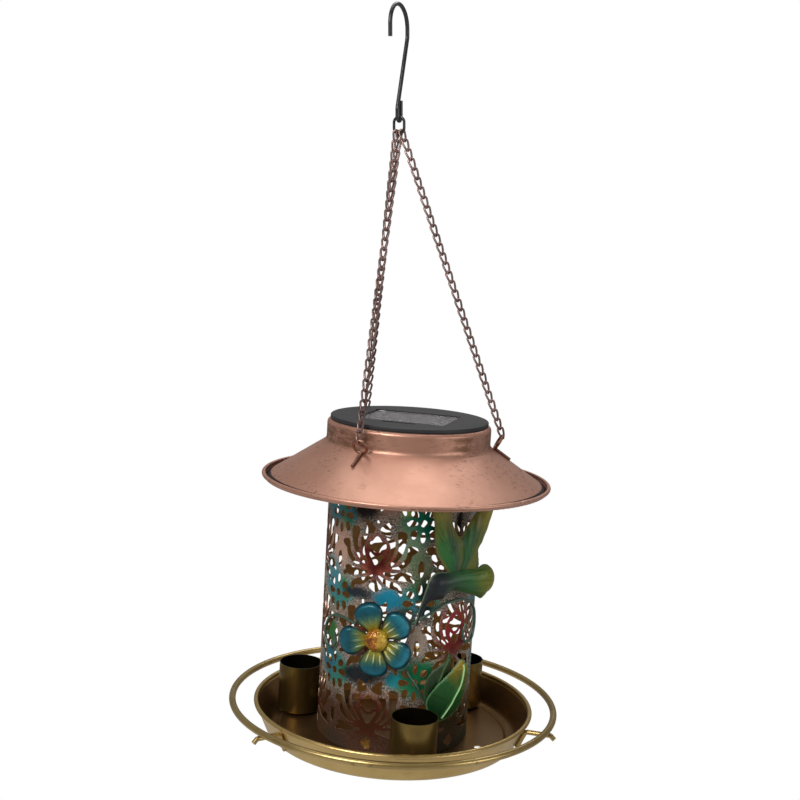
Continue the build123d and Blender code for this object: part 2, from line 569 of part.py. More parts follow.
# ---- light housing under the lid ---------------------------------------------------
housing = Pos(0, 0, HOUSING_FLOOR_Z) * (
    Cylinder(HOUSING_R, HOUSING_DEPTH, align=LOW)
    - Pos(0, 0, HOUSING_WALL) * Cylinder(HOUSING_R - HOUSING_WALL, HOUSING_DEPTH, align=LOW)
)
housing += Pos(0, 0, HOUSING_TOP_Z - FLANGE_T) * (
    Cylinder(FLANGE_R, FLANGE_T, align=LOW) - Cylinder(HOUSING_R - HOUSING_WALL, FLANGE_T, align=LOW)
)
inner_floor_z = HOUSING_FLOOR_Z + HOUSING_WALL
pillar_places = [
    (x * (BOARD_X / 2 - PILLAR_R - 1), BOARD_Y_CENTRE + y * (BOARD_Y / 2 - PILLAR_R - 1))
    for x in (-1, 1)
    for y in (-1, 1)
]
for x, y in pillar_places:
    housing += Pos(x, y, inner_floor_z) * Cylinder(PILLAR_R, BOARD_LIFT - SEAT_GAP, align=LOW)
bay_end_x = BATTERY_LENGTH / 2 + CONTACT_T + 2 * SEAT_GAP
bay_wall = 1.6
for side in (-1, 1):
    housing += Pos(side * (bay_end_x + bay_wall / 2), BATTERY_Y, inner_floor_z) * Box(
        bay_wall, 2 * BATTERY_R, 12.0, align=LOW
    )
door_hole_x = BATTERY_LENGTH + 2 * (CONTACT_T - 0.4)
housing -= Pos(0, BATTERY_Y, HOUSING_FLOOR_Z) * Box(door_hole_x, 2 * BATTERY_R + 0.6, 4 * HOUSING_WALL)
housing -= Pos(0, LED_Y, HOUSING_FLOOR_Z) * Cylinder(LED_R + 0.3, 4 * HOUSING_WALL)
rail_z = HOUSING_FLOOR_Z - DOOR_T - 2 * MOVE_GAP
rail_height = DOOR_T + 2 * MOVE_GAP
rail_x = DOOR_X + DOOR_TRAVEL * 0.6
for side in (-1, 1):
    rail_y = BATTERY_Y + side * (DOOR_Y / 2 + MOVE_GAP + 0.8)
    lip_y = BATTERY_Y + side * (DOOR_Y / 2 + MOVE_GAP + 0.8 - RAIL_LIP / 2)
    housing += Pos(0, rail_y, rail_z) * Box(rail_x, 1.6, rail_height, align=LOW)
    housing += Pos(0, lip_y, rail_z - 1.0) * Box(rail_x, 1.6 + RAIL_LIP, 1.0, align=LOW)
for quarter in range(4):
    x, y, _ = polar(FLANGE_SCREW_RING, 45 + 90 * quarter)
    housing -= Pos(x, y, HOUSING_TOP_Z) * Cylinder(FLANGE_SCREW_R + SEAT_GAP, 4 * FLANGE_T)
    screw = Pos(x, y, HOUSING_TOP_Z - FLANGE_T - SEAT_GAP) * Cylinder(
        FLANGE_SCREW_R, FLANGE_T + 1.2, align=LOW
    )
    screw += Pos(x, y, HOUSING_TOP_Z - FLANGE_T - SEAT_GAP - 1.0) * Cylinder(2.0, 1.0, align=LOW)
    flange_screws.append(screw)
parts["light_housing"] = housing
parts["flange_screws"] = Compound(children=flange_screws)

# ---- what the housing holds ---------------------------------------------------------
board = Pos(0, BOARD_Y_CENTRE, BOARD_Z) * Box(BOARD_X, BOARD_Y, BOARD_T, align=LOW)
board_screws = []
for x, y in pillar_places[::3]:
    board -= Pos(x, y, BOARD_Z) * Cylinder(FLANGE_SCREW_R + HOLE_GAP, 4 * BOARD_T)
    screw = Pos(x, y, BOARD_Z - 5.0) * Cylinder(FLANGE_SCREW_R, 5.0 + BOARD_T + SEAT_GAP, align=LOW)
    screw += Pos(x, y, BOARD_Z + BOARD_T + SEAT_GAP) * Cylinder(2.0, 1.0, align=LOW)
    board_screws.append(screw)
    parts["light_housing"] -= Pos(x, y, BOARD_Z - 6.0) * Cylinder(FLANGE_SCREW_R + SEAT_GAP, 8.0, align=LOW)
parts["circuit_board"] = board
parts["board_screws"] = Compound(children=board_screws)

led_top_z = BOARD_Z - 2.5
led = Pos(0, LED_Y, led_top_z - LED_LENGTH + LED_R) * Cylinder(LED_R, LED_LENGTH - LED_R, align=LOW)
led += Pos(0, LED_Y, led_top_z - LED_LENGTH + LED_R) * Sphere(LED_R)
led += Pos(0, LED_Y, led_top_z - 1.0) * Cylinder(LED_R + 0.4, 1.0, align=LOW)
for side in (-1, 1):
    led += Pos(side * 1.27, LED_Y, led_top_z) * Box(0.5, 0.5, 2.5 - SEAT_GAP, align=LOW)
parts["led"] = led

battery_z = inner_floor_z + BATTERY_R - 0.6
battery_axis = Pos(0, BATTERY_Y, battery_z) * Rot(0, 90, 0)
battery = battery_axis * Cylinder(BATTERY_R - 0.1, BATTERY_LENGTH - 1.4)
battery += battery_axis * Cylinder(2.6, BATTERY_LENGTH)
parts["battery"] = battery
contacts = []
for side in (-1, 1):
    contact_x = side * (BATTERY_LENGTH / 2 + SEAT_GAP + CONTACT_T / 2)
    contacts.append(Pos(contact_x, BATTERY_Y, inner_floor_z + SEAT_GAP) * Box(CONTACT_T, 9.0, 11.5, align=LOW))
parts["battery_contacts"] = Compound(children=contacts)

door = Pos(0, BATTERY_Y, HOUSING_FLOOR_Z - MOVE_GAP - DOOR_T) * Box(DOOR_X, DOOR_Y, DOOR_T, align=LOW)
for ridge in range(4):
    door += Pos(-20.0 + 2.4 * ridge, BATTERY_Y, HOUSING_FLOOR_Z - MOVE_GAP - DOOR_T - 0.5) * Box(
        1.0, 9.0, 0.5, align=LOW
    )
parts["battery_door"] = door

# ---- ornaments on the front of the screen -------------------------------------------


def plate(frame, outline, thickness=ORNAMENT_SHEET):
    """Flat pressed sheet with its outline drawn on frame, thickness to both sides."""
    return extrude(frame * outline, amount=thickness / 2, both=True)


def post(frame, x, y, standoff):
    """Short post from the screen out to the back of an ornament."""
    length = standoff - ORNAMENT_SHEET / 2 - 2 * SEAT_GAP
    return frame * Pos(x, y, -standoff + SEAT_GAP) * Cylinder(POST_R, length, align=LOW)


def outline_face(points):
    """Face inside a closed polyline."""
    return make_face(Polyline(*points, close=True))


def vine(points):
    """Wire bent round the screen, through (turn from the front, height) points."""
    radius = SCREEN_R + WIRE_STANDOFF
    places = [polar(radius, FRONT + turn, z) for turn, z in points]
    bends = []
    for before, at, after in zip(places, places[1:], places[2:]):
        run = min((at - before).length, (after - at).length)
        turn = (at - before).get_angle(after - at)
        bends.append(min(VINE_BEND, 0.45 * run / tan(radians(turn / 2))))
    return wire_along(FilletPolyline(*places, radius=bends), WIRE_R)


flower_frame = outward_plane(SCREEN_R + FLOWER_STANDOFF, FLOWER_AZIMUTH, FLOWER_Z)
petals = Circle(FLOWER_DOME_R)
for turn in PETAL_TURNS:
    petals += Rot(0, 0, turn) * Pos(PETAL_REACH, 0) * Circle(PETAL_R)
parts["flower_petals"] = plate(flower_frame, petals)
dome = Sphere(FLOWER_DOME_R) & Pos(0, 0, FLOWER_DOME_R / 2) * Box(
    2 * FLOWER_DOME_R, 2 * FLOWER_DOME_R, FLOWER_DOME_R
)
parts["flower_centre"] = flower_frame * Pos(0, 0, ORNAMENT_SHEET / 2 + SEAT_GAP) * dome
parts["flower_post"] = post(flower_frame, FLOWER_POST_X, 0, FLOWER_STANDOFF)

bird_frame = outward_plane(SCREEN_R + BIRD_STANDOFF, BIRD_AZIMUTH, 0)
parts["bird_body"] = plate(bird_frame, outline_face(BIRD_BODY_OUTLINE))
wing_frame = bird_frame.offset(ORNAMENT_SHEET + SEAT_GAP)
parts["bird_wings"] = plate(wing_frame, outline_face(BIRD_WING_OUTLINE))
parts["bird_posts"] = Compound(children=[post(bird_frame, x, y, BIRD_STANDOFF) for x, y in BIRD_POSTS])

leaf_frame = outward_plane(SCREEN_R + LEAF_STANDOFF, LEAF_AZIMUTH, 0)
back_leaf_frame = leaf_frame.offset(-LEAF_STANDOFF / 2)
parts["leaf_front"] = plate(leaf_frame, outline_face(LEAF_FRONT_OUTLINE))
parts["leaf_back"] = plate(back_leaf_frame, outline_face(LEAF_BACK_OUTLINE))
parts["leaf_posts"] = Compound(
    children=[post(leaf_frame, 4.0, 56.0, LEAF_STANDOFF), post(back_leaf_frame, -3.0, 66.0, LEAF_STANDOFF / 2)]
)
parts["vine_left"] = vine(VINE_LEFT)
parts["vine_right"] = vine(VINE_RIGHT)
parts["flower_stem"] = vine(STEM)

# ---- the screen is cut last, with the holes of everything that is bolted to it ------
parts["filigree_screen"] = screen - cutouts

# ---- write --------------------------------------------------------------------------
os.makedirs("parts", exist_ok=True)
for name, shape in parts.items():
    export_step(shape, os.path.join("parts", name + ".step"))
print(len(parts), "nodes; cone", round(CONE_ANGLE, 2), "degrees; lid top", round(LID_TOP_Z, 2))
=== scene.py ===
"""Looks of the hanging solar lantern bird feeder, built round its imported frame."""

import logging
import math
from collections.abc import Callable, Sequence
from dataclasses import dataclass
from enum import Enum

import bmesh
import bpy
import numpy as np
from mathutils import Matrix, Vector


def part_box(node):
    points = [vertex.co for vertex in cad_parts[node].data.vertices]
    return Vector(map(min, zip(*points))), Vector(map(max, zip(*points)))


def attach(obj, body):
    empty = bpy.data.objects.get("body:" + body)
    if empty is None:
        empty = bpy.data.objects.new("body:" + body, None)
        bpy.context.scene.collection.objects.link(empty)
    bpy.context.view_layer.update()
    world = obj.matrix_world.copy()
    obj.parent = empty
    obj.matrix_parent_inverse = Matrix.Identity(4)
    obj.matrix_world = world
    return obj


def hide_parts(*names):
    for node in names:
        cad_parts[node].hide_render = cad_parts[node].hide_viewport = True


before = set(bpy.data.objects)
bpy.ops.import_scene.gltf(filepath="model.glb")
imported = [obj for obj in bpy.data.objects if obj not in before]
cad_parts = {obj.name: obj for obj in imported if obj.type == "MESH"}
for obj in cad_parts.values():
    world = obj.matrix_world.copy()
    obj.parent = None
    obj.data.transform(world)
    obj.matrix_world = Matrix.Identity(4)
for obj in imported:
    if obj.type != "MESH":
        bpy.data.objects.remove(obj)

LOG = logging.getLogger("feeder")
MM = 0.001
Point2 = tuple[float, float]
Point3 = tuple[float, float, float]
Colour = tuple[float, float, float]
Socket = bpy.types.NodeSocket
Stops = tuple[tuple[float, Colour], ...]

ALONG_X = Vector((1.0, 0.0, 0.0))
ALONG_Y = Vector((0.0, 1.0, 0.0))
SHEET_MAP = "Sheet"  # the name of the map on every cut sheet
MARGIN_MARK = "margin"  # how far a point lies from its sheet's edge
VEIN_MARK = "vein"  # 1 on a raised vein or rib
MAP_UNIT = 100.0  # millimetres to one unit of the screen's map

AXIS = (0.0, 0.0)  # the upright axis of tray, screen and roof
WELD = 1e-4  # millimetres between points that become one
CRISP_SCREEN = 30.0  # degrees over which an edge stays crisp
CRISP_PRESSED = 50.0
CRISP_LINK = 60.0
CRISP_BOSS = 70.0

CLOUD_SCALE = 28.0  # pattern scales, per metre
BLOTCH_SCALE = 70.0
SPECK_SCALE = 420.0
SPECK_FIELD_SCALE = 24.0
STREAK_RISE = 170.0  # how much faster a round-about pattern changes upwards than round
COLLAR_RISE = 260.0
COLLAR_EDGE = 0.0015  # metres over which a band fades
SHADE_WELL_EDGE = 0.0002
PLATE_RELIEF = 0.00008
CUP_WALL = 0.0003
CUP_BRASS = ((0.36, 0.26, 0.085), (0.28, 0.20, 0.065))
FOLD_TILES = 40  # whole tiles added before folding, so that no coordinate is negative


class Body(str, Enum):
    """The body of the frame that new pieces ride on."""

    FEEDER = "feeder"


# --------------------------------------------------------------------------------------
# Node work
# --------------------------------------------------------------------------------------
class Finishing:
    """Builds one procedural material out of nodes."""

    def __init__(self, name: str) -> None:
        """Starts a material with a Principled shader.

        Args:
            name: the material's name.
        """
        self.material = bpy.data.materials.new(name)
        self.material.use_nodes = True
        self.tree = self.material.node_tree
        self.shader = self.tree.nodes["Principled BSDF"]

    def node(self, kind: str, **settings: object) -> bpy.types.Node:
        """Adds a node and sets its properties.

        Args:
            kind: the node's type name without the ShaderNode prefix.
            settings: properties of the node.

        Returns:
            The new node.
        """
        made = self.tree.nodes.new("ShaderNode" + kind)
        for key, value in settings.items():
            setattr(made, key, value)
        return made

    def feed(self, socket: Socket, value: object) -> None:
        """Links a socket or sets a constant on an input.

        Args:
            socket: the input.
            value: another node's output, a number, or a tuple.
        """
        if isinstance(value, bpy.types.NodeSocket):
            self.tree.links.new(value, socket)
        elif isinstance(value, tuple) and len(value) == 3 and len(socket.default_value) == 4:
            socket.default_value = (*value, 1.0)
        else:
            socket.default_value = value

    def place(self) -> Socket:
        """Returns Object coordinates in metres."""
        return self.node("TexCoord").outputs["Object"]

    def uv(self) -> Socket:
        """Returns the piece's own map."""
        return self.node("UVMap", uv_map=SHEET_MAP).outputs["UV"]

    def mark(self, name: str) -> Socket:
        """Returns a number stored on the piece's points."""
        return self.split(self.node("Attribute", attribute_name=name).outputs["Vector"])[0]

    def mapped(
        self,
        vector: Socket,
        location: Point3 = (0.0, 0.0, 0.0),
        turn: float = 0.0,
        scale: Point3 = (1.0, 1.0, 1.0),
    ) -> Socket:
        """Moves, turns and scales a pattern's coordinates.

        Args:
            vector: the coordinates.
            location: the shift.
            turn: degrees about Z.
            scale: stretch on each axis.

        Returns:
            The new coordinates.
        """
        made = self.node("Mapping")
        self.feed(made.inputs["Vector"], vector)
        made.inputs["Location"].default_value = location
        made.inputs["Rotation"].default_value = (0.0, 0.0, math.radians(turn))
        made.inputs["Scale"].default_value = scale
        return made.outputs["Vector"]

    def split(self, vector: Socket) -> tuple[Socket, Socket, Socket]:
        """Returns the X, Y and Z of a vector."""
        made = self.node("SeparateXYZ")
        self.feed(made.inputs[0], vector)
        return made.outputs[0], made.outputs[1], made.outputs[2]

    def join(self, x: object, y: object, z: object = 0.0) -> Socket:
        """Returns a vector from three values."""
        made = self.node("CombineXYZ")
        for socket, value in zip(made.inputs, (x, y, z)):
            self.feed(socket, value)
        return made.outputs[0]

    def sums(self, operation: str, a: object, b: object = 0.0) -> Socket:
        """Adds a Math node.

        Args:
            operation: the Math node's operation.
            a: first value.
            b: second value.

        Returns:
            The result.
        """
        made = self.node("Math", operation=operation)
        for socket, value in zip(made.inputs, (a, b)):
            self.feed(socket, value)
        return made.outputs[0]

    def times(self, first: object, *more: object) -> Socket:
        """Returns the product of two or more values."""
        for value in more:
            first = self.sums("MULTIPLY", first, value)
        return first

    def plus(self, first: object, second: object) -> Socket:
        """Returns the sum of two values."""
        return self.sums("ADD", first, second)

    def minus(self, first: object, second: object) -> Socket:
        """Returns the first value less the second."""
        return self.sums("SUBTRACT", first, second)

    def reach(self, across: Socket, up: Socket) -> Socket:
        """Returns the length of a flat vector."""
        return self.sums("SQRT", self.plus(self.times(across, across), self.times(up, up)))

    def noise(self, vector: Socket, scale: float, detail: float = 4.0, roughness: float = 0.55) -> Socket:
        """Returns a noise pattern from 0 to 1."""
        made = self.node("TexNoise")
        self.feed(made.inputs["Vector"], vector)
        made.inputs["Scale"].default_value = scale
        made.inputs["Detail"].default_value = detail
        made.inputs["Roughness"].default_value = roughness
        return made.outputs["Fac"]

    def cells(self, vector: Socket, scale: float, feature: str = "F1") -> Socket:
        """Returns the distance of a cell pattern."""
        made = self.node("TexVoronoi", feature=feature)
        self.feed(made.inputs["Vector"], vector)
        made.inputs["Scale"].default_value = scale
        return made.outputs["Distance"]

    def step(self, value: Socket, low: float, high: float) -> Socket:
        """Returns a soft step that is 0 under low and 1 over high, or the reverse if low is the larger."""
        made = self.node("MapRange", interpolation_type="SMOOTHSTEP")
        self.feed(made.inputs["Value"], value)
        made.inputs["From Min"].default_value = min(low, high)
        made.inputs["From Max"].default_value = max(low, high)
        made.inputs["To Min"].default_value = 0.0 if low < high else 1.0
        made.inputs["To Max"].default_value = 1.0 if low < high else 0.0
        return made.outputs[0]

    def stripes(self, value: Socket, pitch: float, low: float, high: float) -> Socket:
        """Returns 1 on evenly spaced lines and 0 between them.

        Args:
            value: the coordinate across the lines.
            pitch: the distance between lines.
            low: where a line's soft edge starts, from 0 midway to 0.5 on the line.
            high: where it ends.

        Returns:
            The mask.
        """
        share = self.sums("FRACT", self.sums("DIVIDE", value, pitch))
        return self.step(self.sums("ABSOLUTE", self.minus(share, 0.5)), low, high)

    def span(self, value: Socket, low: float, high: float) -> Socket:
        """Returns a 0 to 1 value spread from low to high."""
        made = self.node("MapRange")
        self.feed(made.inputs["Value"], value)
        made.inputs["To Min"].default_value = low
        made.inputs["To Max"].default_value = high
        return made.outputs[0]

    def ramp(self, value: Socket, stops: Sequence[tuple[float, Colour]]) -> Socket:
        """Returns a colour from a ramp.

        Args:
            value: from 0 to 1.
            stops: places and colours, in order.

        Returns:
            The colour.
        """
        made = self.node("ValToRGB")
        self.feed(made.inputs[0], value)
        elements = made.color_ramp.elements
        while len(elements) < len(stops):
            elements.new(0.5)
        for element, (place, colour) in zip(elements, stops):
            element.position = place
            element.color = (*colour, 1.0)
        return made.outputs[0]

    def mix(self, share: object, a: object, b: object, blend: str = "MIX") -> Socket:
        """Mixes two colours.

        Args:
            share: how much of b, from 0 to 1.
            a: the first colour.
            b: the second colour.
            blend: the way they mix.

        Returns:
            The colour.
        """
        made = self.node("Mix", data_type="RGBA", blend_type=blend)
        self.feed(made.inputs[0], share)
        self.feed(made.inputs[6], a)
        self.feed(made.inputs[7], b)
        return made.outputs[2]

    def spot(self, x: Socket, y: Socket, at: Point2, size: Point2, edge: float = 0.5) -> Socket:
        """Returns 1 inside a soft oval spot and 0 outside.

        Args:
            x: the across coordinate.
            y: the up coordinate.
            at: the spot's centre.
            size: its half width and half height.
            edge: where the soft edge starts, as a share of the size.

        Returns:
            The mask.
        """
        across = self.sums("DIVIDE", self.minus(x, at[0]), size[0])
        up = self.sums("DIVIDE", self.minus(y, at[1]), size[1])
        return self.step(self.reach(across, up), 1.0, edge)

    def bump(self, height: Socket, depth: float, strength: float = 1.0) -> None:
        """Presses a relief into the surface.

        Args:
            height: from 0 to 1.
            depth: metres.
            strength: how strongly it shows.
        """
        made = self.node("Bump")
        made.inputs["Strength"].default_value = strength
        made.inputs["Distance"].default_value = depth
        self.feed(made.inputs["Height"], height)
        self.tree.links.new(made.outputs[0], self.shader.inputs["Normal"])

    def give(self, **values: object) -> bpy.types.Material:
        """Sets the shader's sockets, with _ for a space in their names.

        Args:
            values: a socket, number or colour for each input.

        Returns:
            The material.
        """
        for key, value in values.items():
            self.feed(self.shader.inputs[key.replace("_", " ")], value)
        return self.material


@dataclass(frozen=True)
class PaintedShadeWell:
    """Painted shade in a hollow about an upright axis: everything inside its radius, or only what faces up."""

    centre: Point2
    radius: float
    # the colour of the painted shade
    tone: Colour
    floor_only: bool = False


@dataclass(frozen=True)
class Collar:
    """A brushed darker band between two heights."""

    low: float
    high: float
    tone: Colour
    share: float = 0.8


@dataclass(frozen=True)
class PlatedMetal:
    """A plated or lacquered metal with soft mottling, brush marks, darker wear and painted shade in any given
    hollow or gutter.
    """

    name: str
    tone: Colour
    deep: Colour
    roughness: float = 0.35
    metallic: float = 0.9
    grain: float = 900.0
    streaks: float = 0.0
    wear: Colour = (0.05, 0.03, 0.02)
    wear_amount: float = 0.25
    specks: float = 0.0
    # painted shade inside a hollow, if one is given
    well: PaintedShadeWell | None = None
    collar: Collar | None = None
    # painted shadow inside the roof's upturned lip: inner radius, outer radius and colour
    gutter_shade: tuple[float, float, Colour] | None = None

    def build(self) -> bpy.types.Material:
        """Returns the finished material."""
        kit = Finishing(self.name)
        place = kit.place()
        x, y, z = kit.split(place)
        turn = kit.sums("ARCTAN2", y, x)
        cloud = kit.noise(place, CLOUD_SCALE, 5.0)
        fine = kit.noise(place, self.grain, 2.0)
        colour = kit.mix(kit.step(cloud, 0.32, 0.68), self.tone, self.deep)
        colour = kit.mix(kit.span(fine, 0.0, 0.16), colour, self.wear)
        worn = kit.times(kit.step(kit.noise(place, BLOTCH_SCALE, 6.0, 0.7), 0.60, 0.74), self.wear_amount)
        if self.streaks:
            worn = kit.sums("MAXIMUM", worn, kit.times(self.streaked(kit, turn, z), self.streaks))
        if self.specks:
            worn = kit.sums("MAXIMUM", worn, kit.times(self.speckled(kit, place), self.specks))
        # Painted shade inside the hollow.
        if self.well is not None:
            colour = kit.mix(self.inside(kit, x, y, self.well), colour, self.well.tone)
        if self.collar is not None:
            share = kit.times(self.banded(kit, turn, z, self.collar), self.collar.share)
            colour = kit.mix(share, colour, self.collar.tone)
        # Painted shadow on the upward faces inside the lip.
        if self.gutter_shade is not None:
            inner, outer, shade = self.gutter_shade
            past = self.inside(kit, x, y, PaintedShadeWell(AXIS, inner, shade, True), True)
            within = self.inside(kit, x, y, PaintedShadeWell(AXIS, outer, shade))
            colour = kit.mix(kit.times(past, within), colour, shade)
        colour = kit.mix(worn, colour, self.wear)
        rough = kit.plus(kit.span(cloud, self.roughness - 0.06, self.roughness + 0.06),
                         kit.times(worn, 0.25))
        kit.bump(kit.plus(fine, kit.times(cloud, 0.5)), PLATE_RELIEF, 0.35)
        return kit.give(Base_Color=colour, Metallic=self.metallic, Roughness=rough)

    @staticmethod
    def streaked(kit: Finishing, turn: Socket, z: Socket) -> Socket:
        """Returns brush marks that run round the axis, in patches.

        Args:
            kit: the material being built.
            turn: the angle about the axis.
            z: the height.

        Returns:
            The mask.
        """
        round_about = kit.join(turn, kit.times(z, STREAK_RISE))
        brushed = kit.noise(kit.mapped(round_about, scale=(5.0, 1.0, 1.0)), 1.4, 6.0, 0.65)
        patches = kit.noise(kit.mapped(round_about, scale=(1.0, 0.12, 1.0)), 1.1, 3.0)
        return kit.times(kit.step(brushed, 0.50, 0.66), kit.step(patches, 0.50, 0.62))

    @staticmethod
    def speckled(kit: Finishing, place: Socket) -> Socket:
        """Returns fine dark specks that gather in fields.

        Args:
            kit: the material being built.
            place: the coordinates.

        Returns:
            The mask.
        """
        dots = kit.noise(kit.mapped(place, scale=(0.45, 1.0, 1.6)), SPECK_SCALE, 5.0, 0.75)
        fields = kit.noise(kit.mapped(place, location=(0.3, 0.1, 0.0)), SPECK_FIELD_SCALE, 3.0)
        return kit.times(kit.step(dots, 0.53, 0.62), kit.step(fields, 0.42, 0.60))

    @staticmethod
    def banded(kit: Finishing, turn: Socket, z: Socket, collar: Collar) -> Socket:
        """Returns the brushed patches of a band between two heights.

        Args:
            kit: the material being built.
            turn: the angle about the axis.
            z: the height.
            collar: the band.

        Returns:
            The mask.
        """
        over = kit.step(z, collar.low - COLLAR_EDGE, collar.low + COLLAR_EDGE)
        under = kit.step(z, collar.high + COLLAR_EDGE, collar.high - COLLAR_EDGE)
        sweep = kit.join(turn, kit.times(z, COLLAR_RISE))
        brush = kit.noise(kit.mapped(sweep, scale=(4.0, 1.0, 1.0)), 1.3, 5.0, 0.65)
        area = kit.noise(kit.mapped(sweep, location=(4.4, 0.0, 0.0), scale=(1.0, 0.05, 1.0)), 1.6, 2.0)
        return kit.times(over, under, kit.step(brush, 0.36, 0.58), kit.step(area, 0.42, 0.60))

    @staticmethod
    def inside(kit: Finishing, x: Socket, y: Socket, well: PaintedShadeWell, outside: bool = False) -> Socket:
        """Returns 1 inside a hollow with painted shade and 0 outside it, or the reverse.

        Args:
            kit: the material being built.
            x: the across coordinate.
            y: the deep coordinate.
            well: the hollow whose painted shade is masked.
            outside: mark what lies outside the radius instead.

        Returns:
            The mask.
        """
        across, deep = kit.minus(x, well.centre[0]), kit.minus(y, well.centre[1])
        radius = kit.reach(across, deep)
        soft = -SHADE_WELL_EDGE if outside else SHADE_WELL_EDGE
        mask = kit.step(radius, well.radius + soft, well.radius - soft)
        if not well.floor_only:
            return mask
        facing = kit.split(kit.node("NewGeometry").outputs["Normal"])[2]
        return kit.times(mask, kit.step(facing, 0.05, 0.35))


@dataclass(frozen=True)
class MouldedPlastic:
    """A moulded plastic or rubber with a fine spark-eroded texture."""

    name: str
    tone: Colour
    scuff: Colour
    roughness: float = 0.45
    texture: float = 1500.0
    shine: float = 0.5

    def build(self) -> bpy.types.Material:
        """Returns the finished material."""
        kit = Finishing(self.name)
        place = kit.place()
        pits = kit.noise(place, self.texture, 3.0)
        cloud = kit.noise(place, 22.0, 5.0)
        scratch = kit.noise(kit.mapped(place, turn=30.0, scale=(1.0, 14.0, 1.0)), 60.0, 4.0)
        dust = kit.step(scratch, 0.60, 0.78)
        faded = kit.mix(kit.span(cloud, 0.0, 0.6), self.tone, self.scuff)
        colour = kit.mix(kit.times(dust, 0.35), faded, self.scuff)
        kit.bump(pits, 0.00006, 0.4)
        rough = kit.span(cloud, self.roughness - 0.07, self.roughness + 0.1)
        return kit.give(Base_Color=colour, Roughness=rough, Specular_IOR_Level=self.shine)


@dataclass(frozen=True)
class SolarCells:
    """Dark silicon with silver finger lines, turned as the panel lies in the lid."""

    name: str
    centre: Point2
    turn: float
    pitch: float = 0.0021
    bars: float = 0.0135

    def build(self) -> bpy.types.Material:
        """Returns the finished material."""
        kit = Finishing(self.name)
        place = kit.place()
        centred = kit.mapped(place, location=(-self.centre[0], -self.centre[1], 0.0))
        x, y, _ = kit.split(kit.mapped(centred, turn=-self.turn))
        fingers = kit.stripes(y, self.pitch, 0.40, 0.47)
        busbars = kit.stripes(x, self.bars, 0.462, 0.485)
        crystal = kit.noise(place, 160.0, 2.0)
        silicon = kit.mix(kit.step(crystal, 0.35, 0.65), (0.20, 0.16, 0.18), (0.25, 0.20, 0.22))
        lines = kit.sums("MAXIMUM", kit.times(fingers, 0.45), kit.times(busbars, 0.7))
        kit.bump(fingers, 0.00003, 0.3)
        colour = kit.mix(lines, silicon, (0.50, 0.46, 0.47))
        return kit.give(Base_Color=colour, Roughness=kit.span(crystal, 0.22, 0.34))


@dataclass(frozen=True)
class ClearCast:
    """A clear moulding or resin with faint haze."""

    name: str
    tone: Colour = (0.95, 0.95, 0.97)
    haze: float = 0.08

    def build(self) -> bpy.types.Material:
        """Returns the finished material."""
        kit = Finishing(self.name)
        cloud = kit.noise(kit.place(), 90.0, 4.0)
        kit.bump(cloud, 0.000005, 0.1)
        return kit.give(Base_Color=kit.mix(kit.span(cloud, 0.0, 0.2), self.tone, (0.85, 0.86, 0.9)),
                        Roughness=kit.span(cloud, self.haze, self.haze + 0.08),
                        Transmission_Weight=1.0, IOR=1.46)


@dataclass(frozen=True)
class CircuitLacquer:
    """Green solder mask with faint tracks."""

    name: str

    def build(self) -> bpy.types.Material:
        """Returns the finished material."""
        kit = Finishing(self.name)
        place = kit.place()
        tracks = kit.cells(place, 420.0, "DISTANCE_TO_EDGE")
        lines = kit.step(tracks, 0.09, 0.05)
        colour = kit.mix(lines, (0.015, 0.11, 0.045), (0.05, 0.24, 0.10))
        kit.bump(lines, 0.00004, 0.4)
        return kit.give(Base_Color=colour, Roughness=kit.span(kit.noise(place, 60.0), 0.25, 0.4))


@dataclass(frozen=True)
class WireEnamel:
    """Painted steel wire with small chips and soft gloss."""

    name: str
    tone: Colour
    bare: Colour
    roughness: float = 0.3
    chips: float = 0.35

    def build(self) -> bpy.types.Material:
        """Returns the finished material."""
        kit = Finishing(self.name)
        place = kit.place()
        cloud = kit.noise(place, 120.0, 5.0)
        chip = kit.times(kit.step(kit.noise(place, 340.0, 5.0, 0.7), 0.58, 0.70), self.chips)
        colour = kit.mix(chip, kit.mix(kit.span(cloud, 0.0, 0.5), self.tone, self.bare), self.bare)
        kit.bump(cloud, 0.0001, 0.25)
        rough = kit.plus(kit.span(cloud, self.roughness - 0.05, self.roughness + 0.08),
                         kit.times(chip, 0.2))
        return kit.give(Base_Color=colour, Roughness=rough, Metallic=0.35, Coat_Weight=0.25,
                        Coat_Roughness=0.25)


@dataclass(frozen=True)
class PaintSpot:
    """One patch of colour on the unrolled screen, in decimetres; most are airbrushed paint, one is a painted
    shadow.
    """

    at: Point2
    size: Point2
    colour: Colour
    strength: float = 1.0


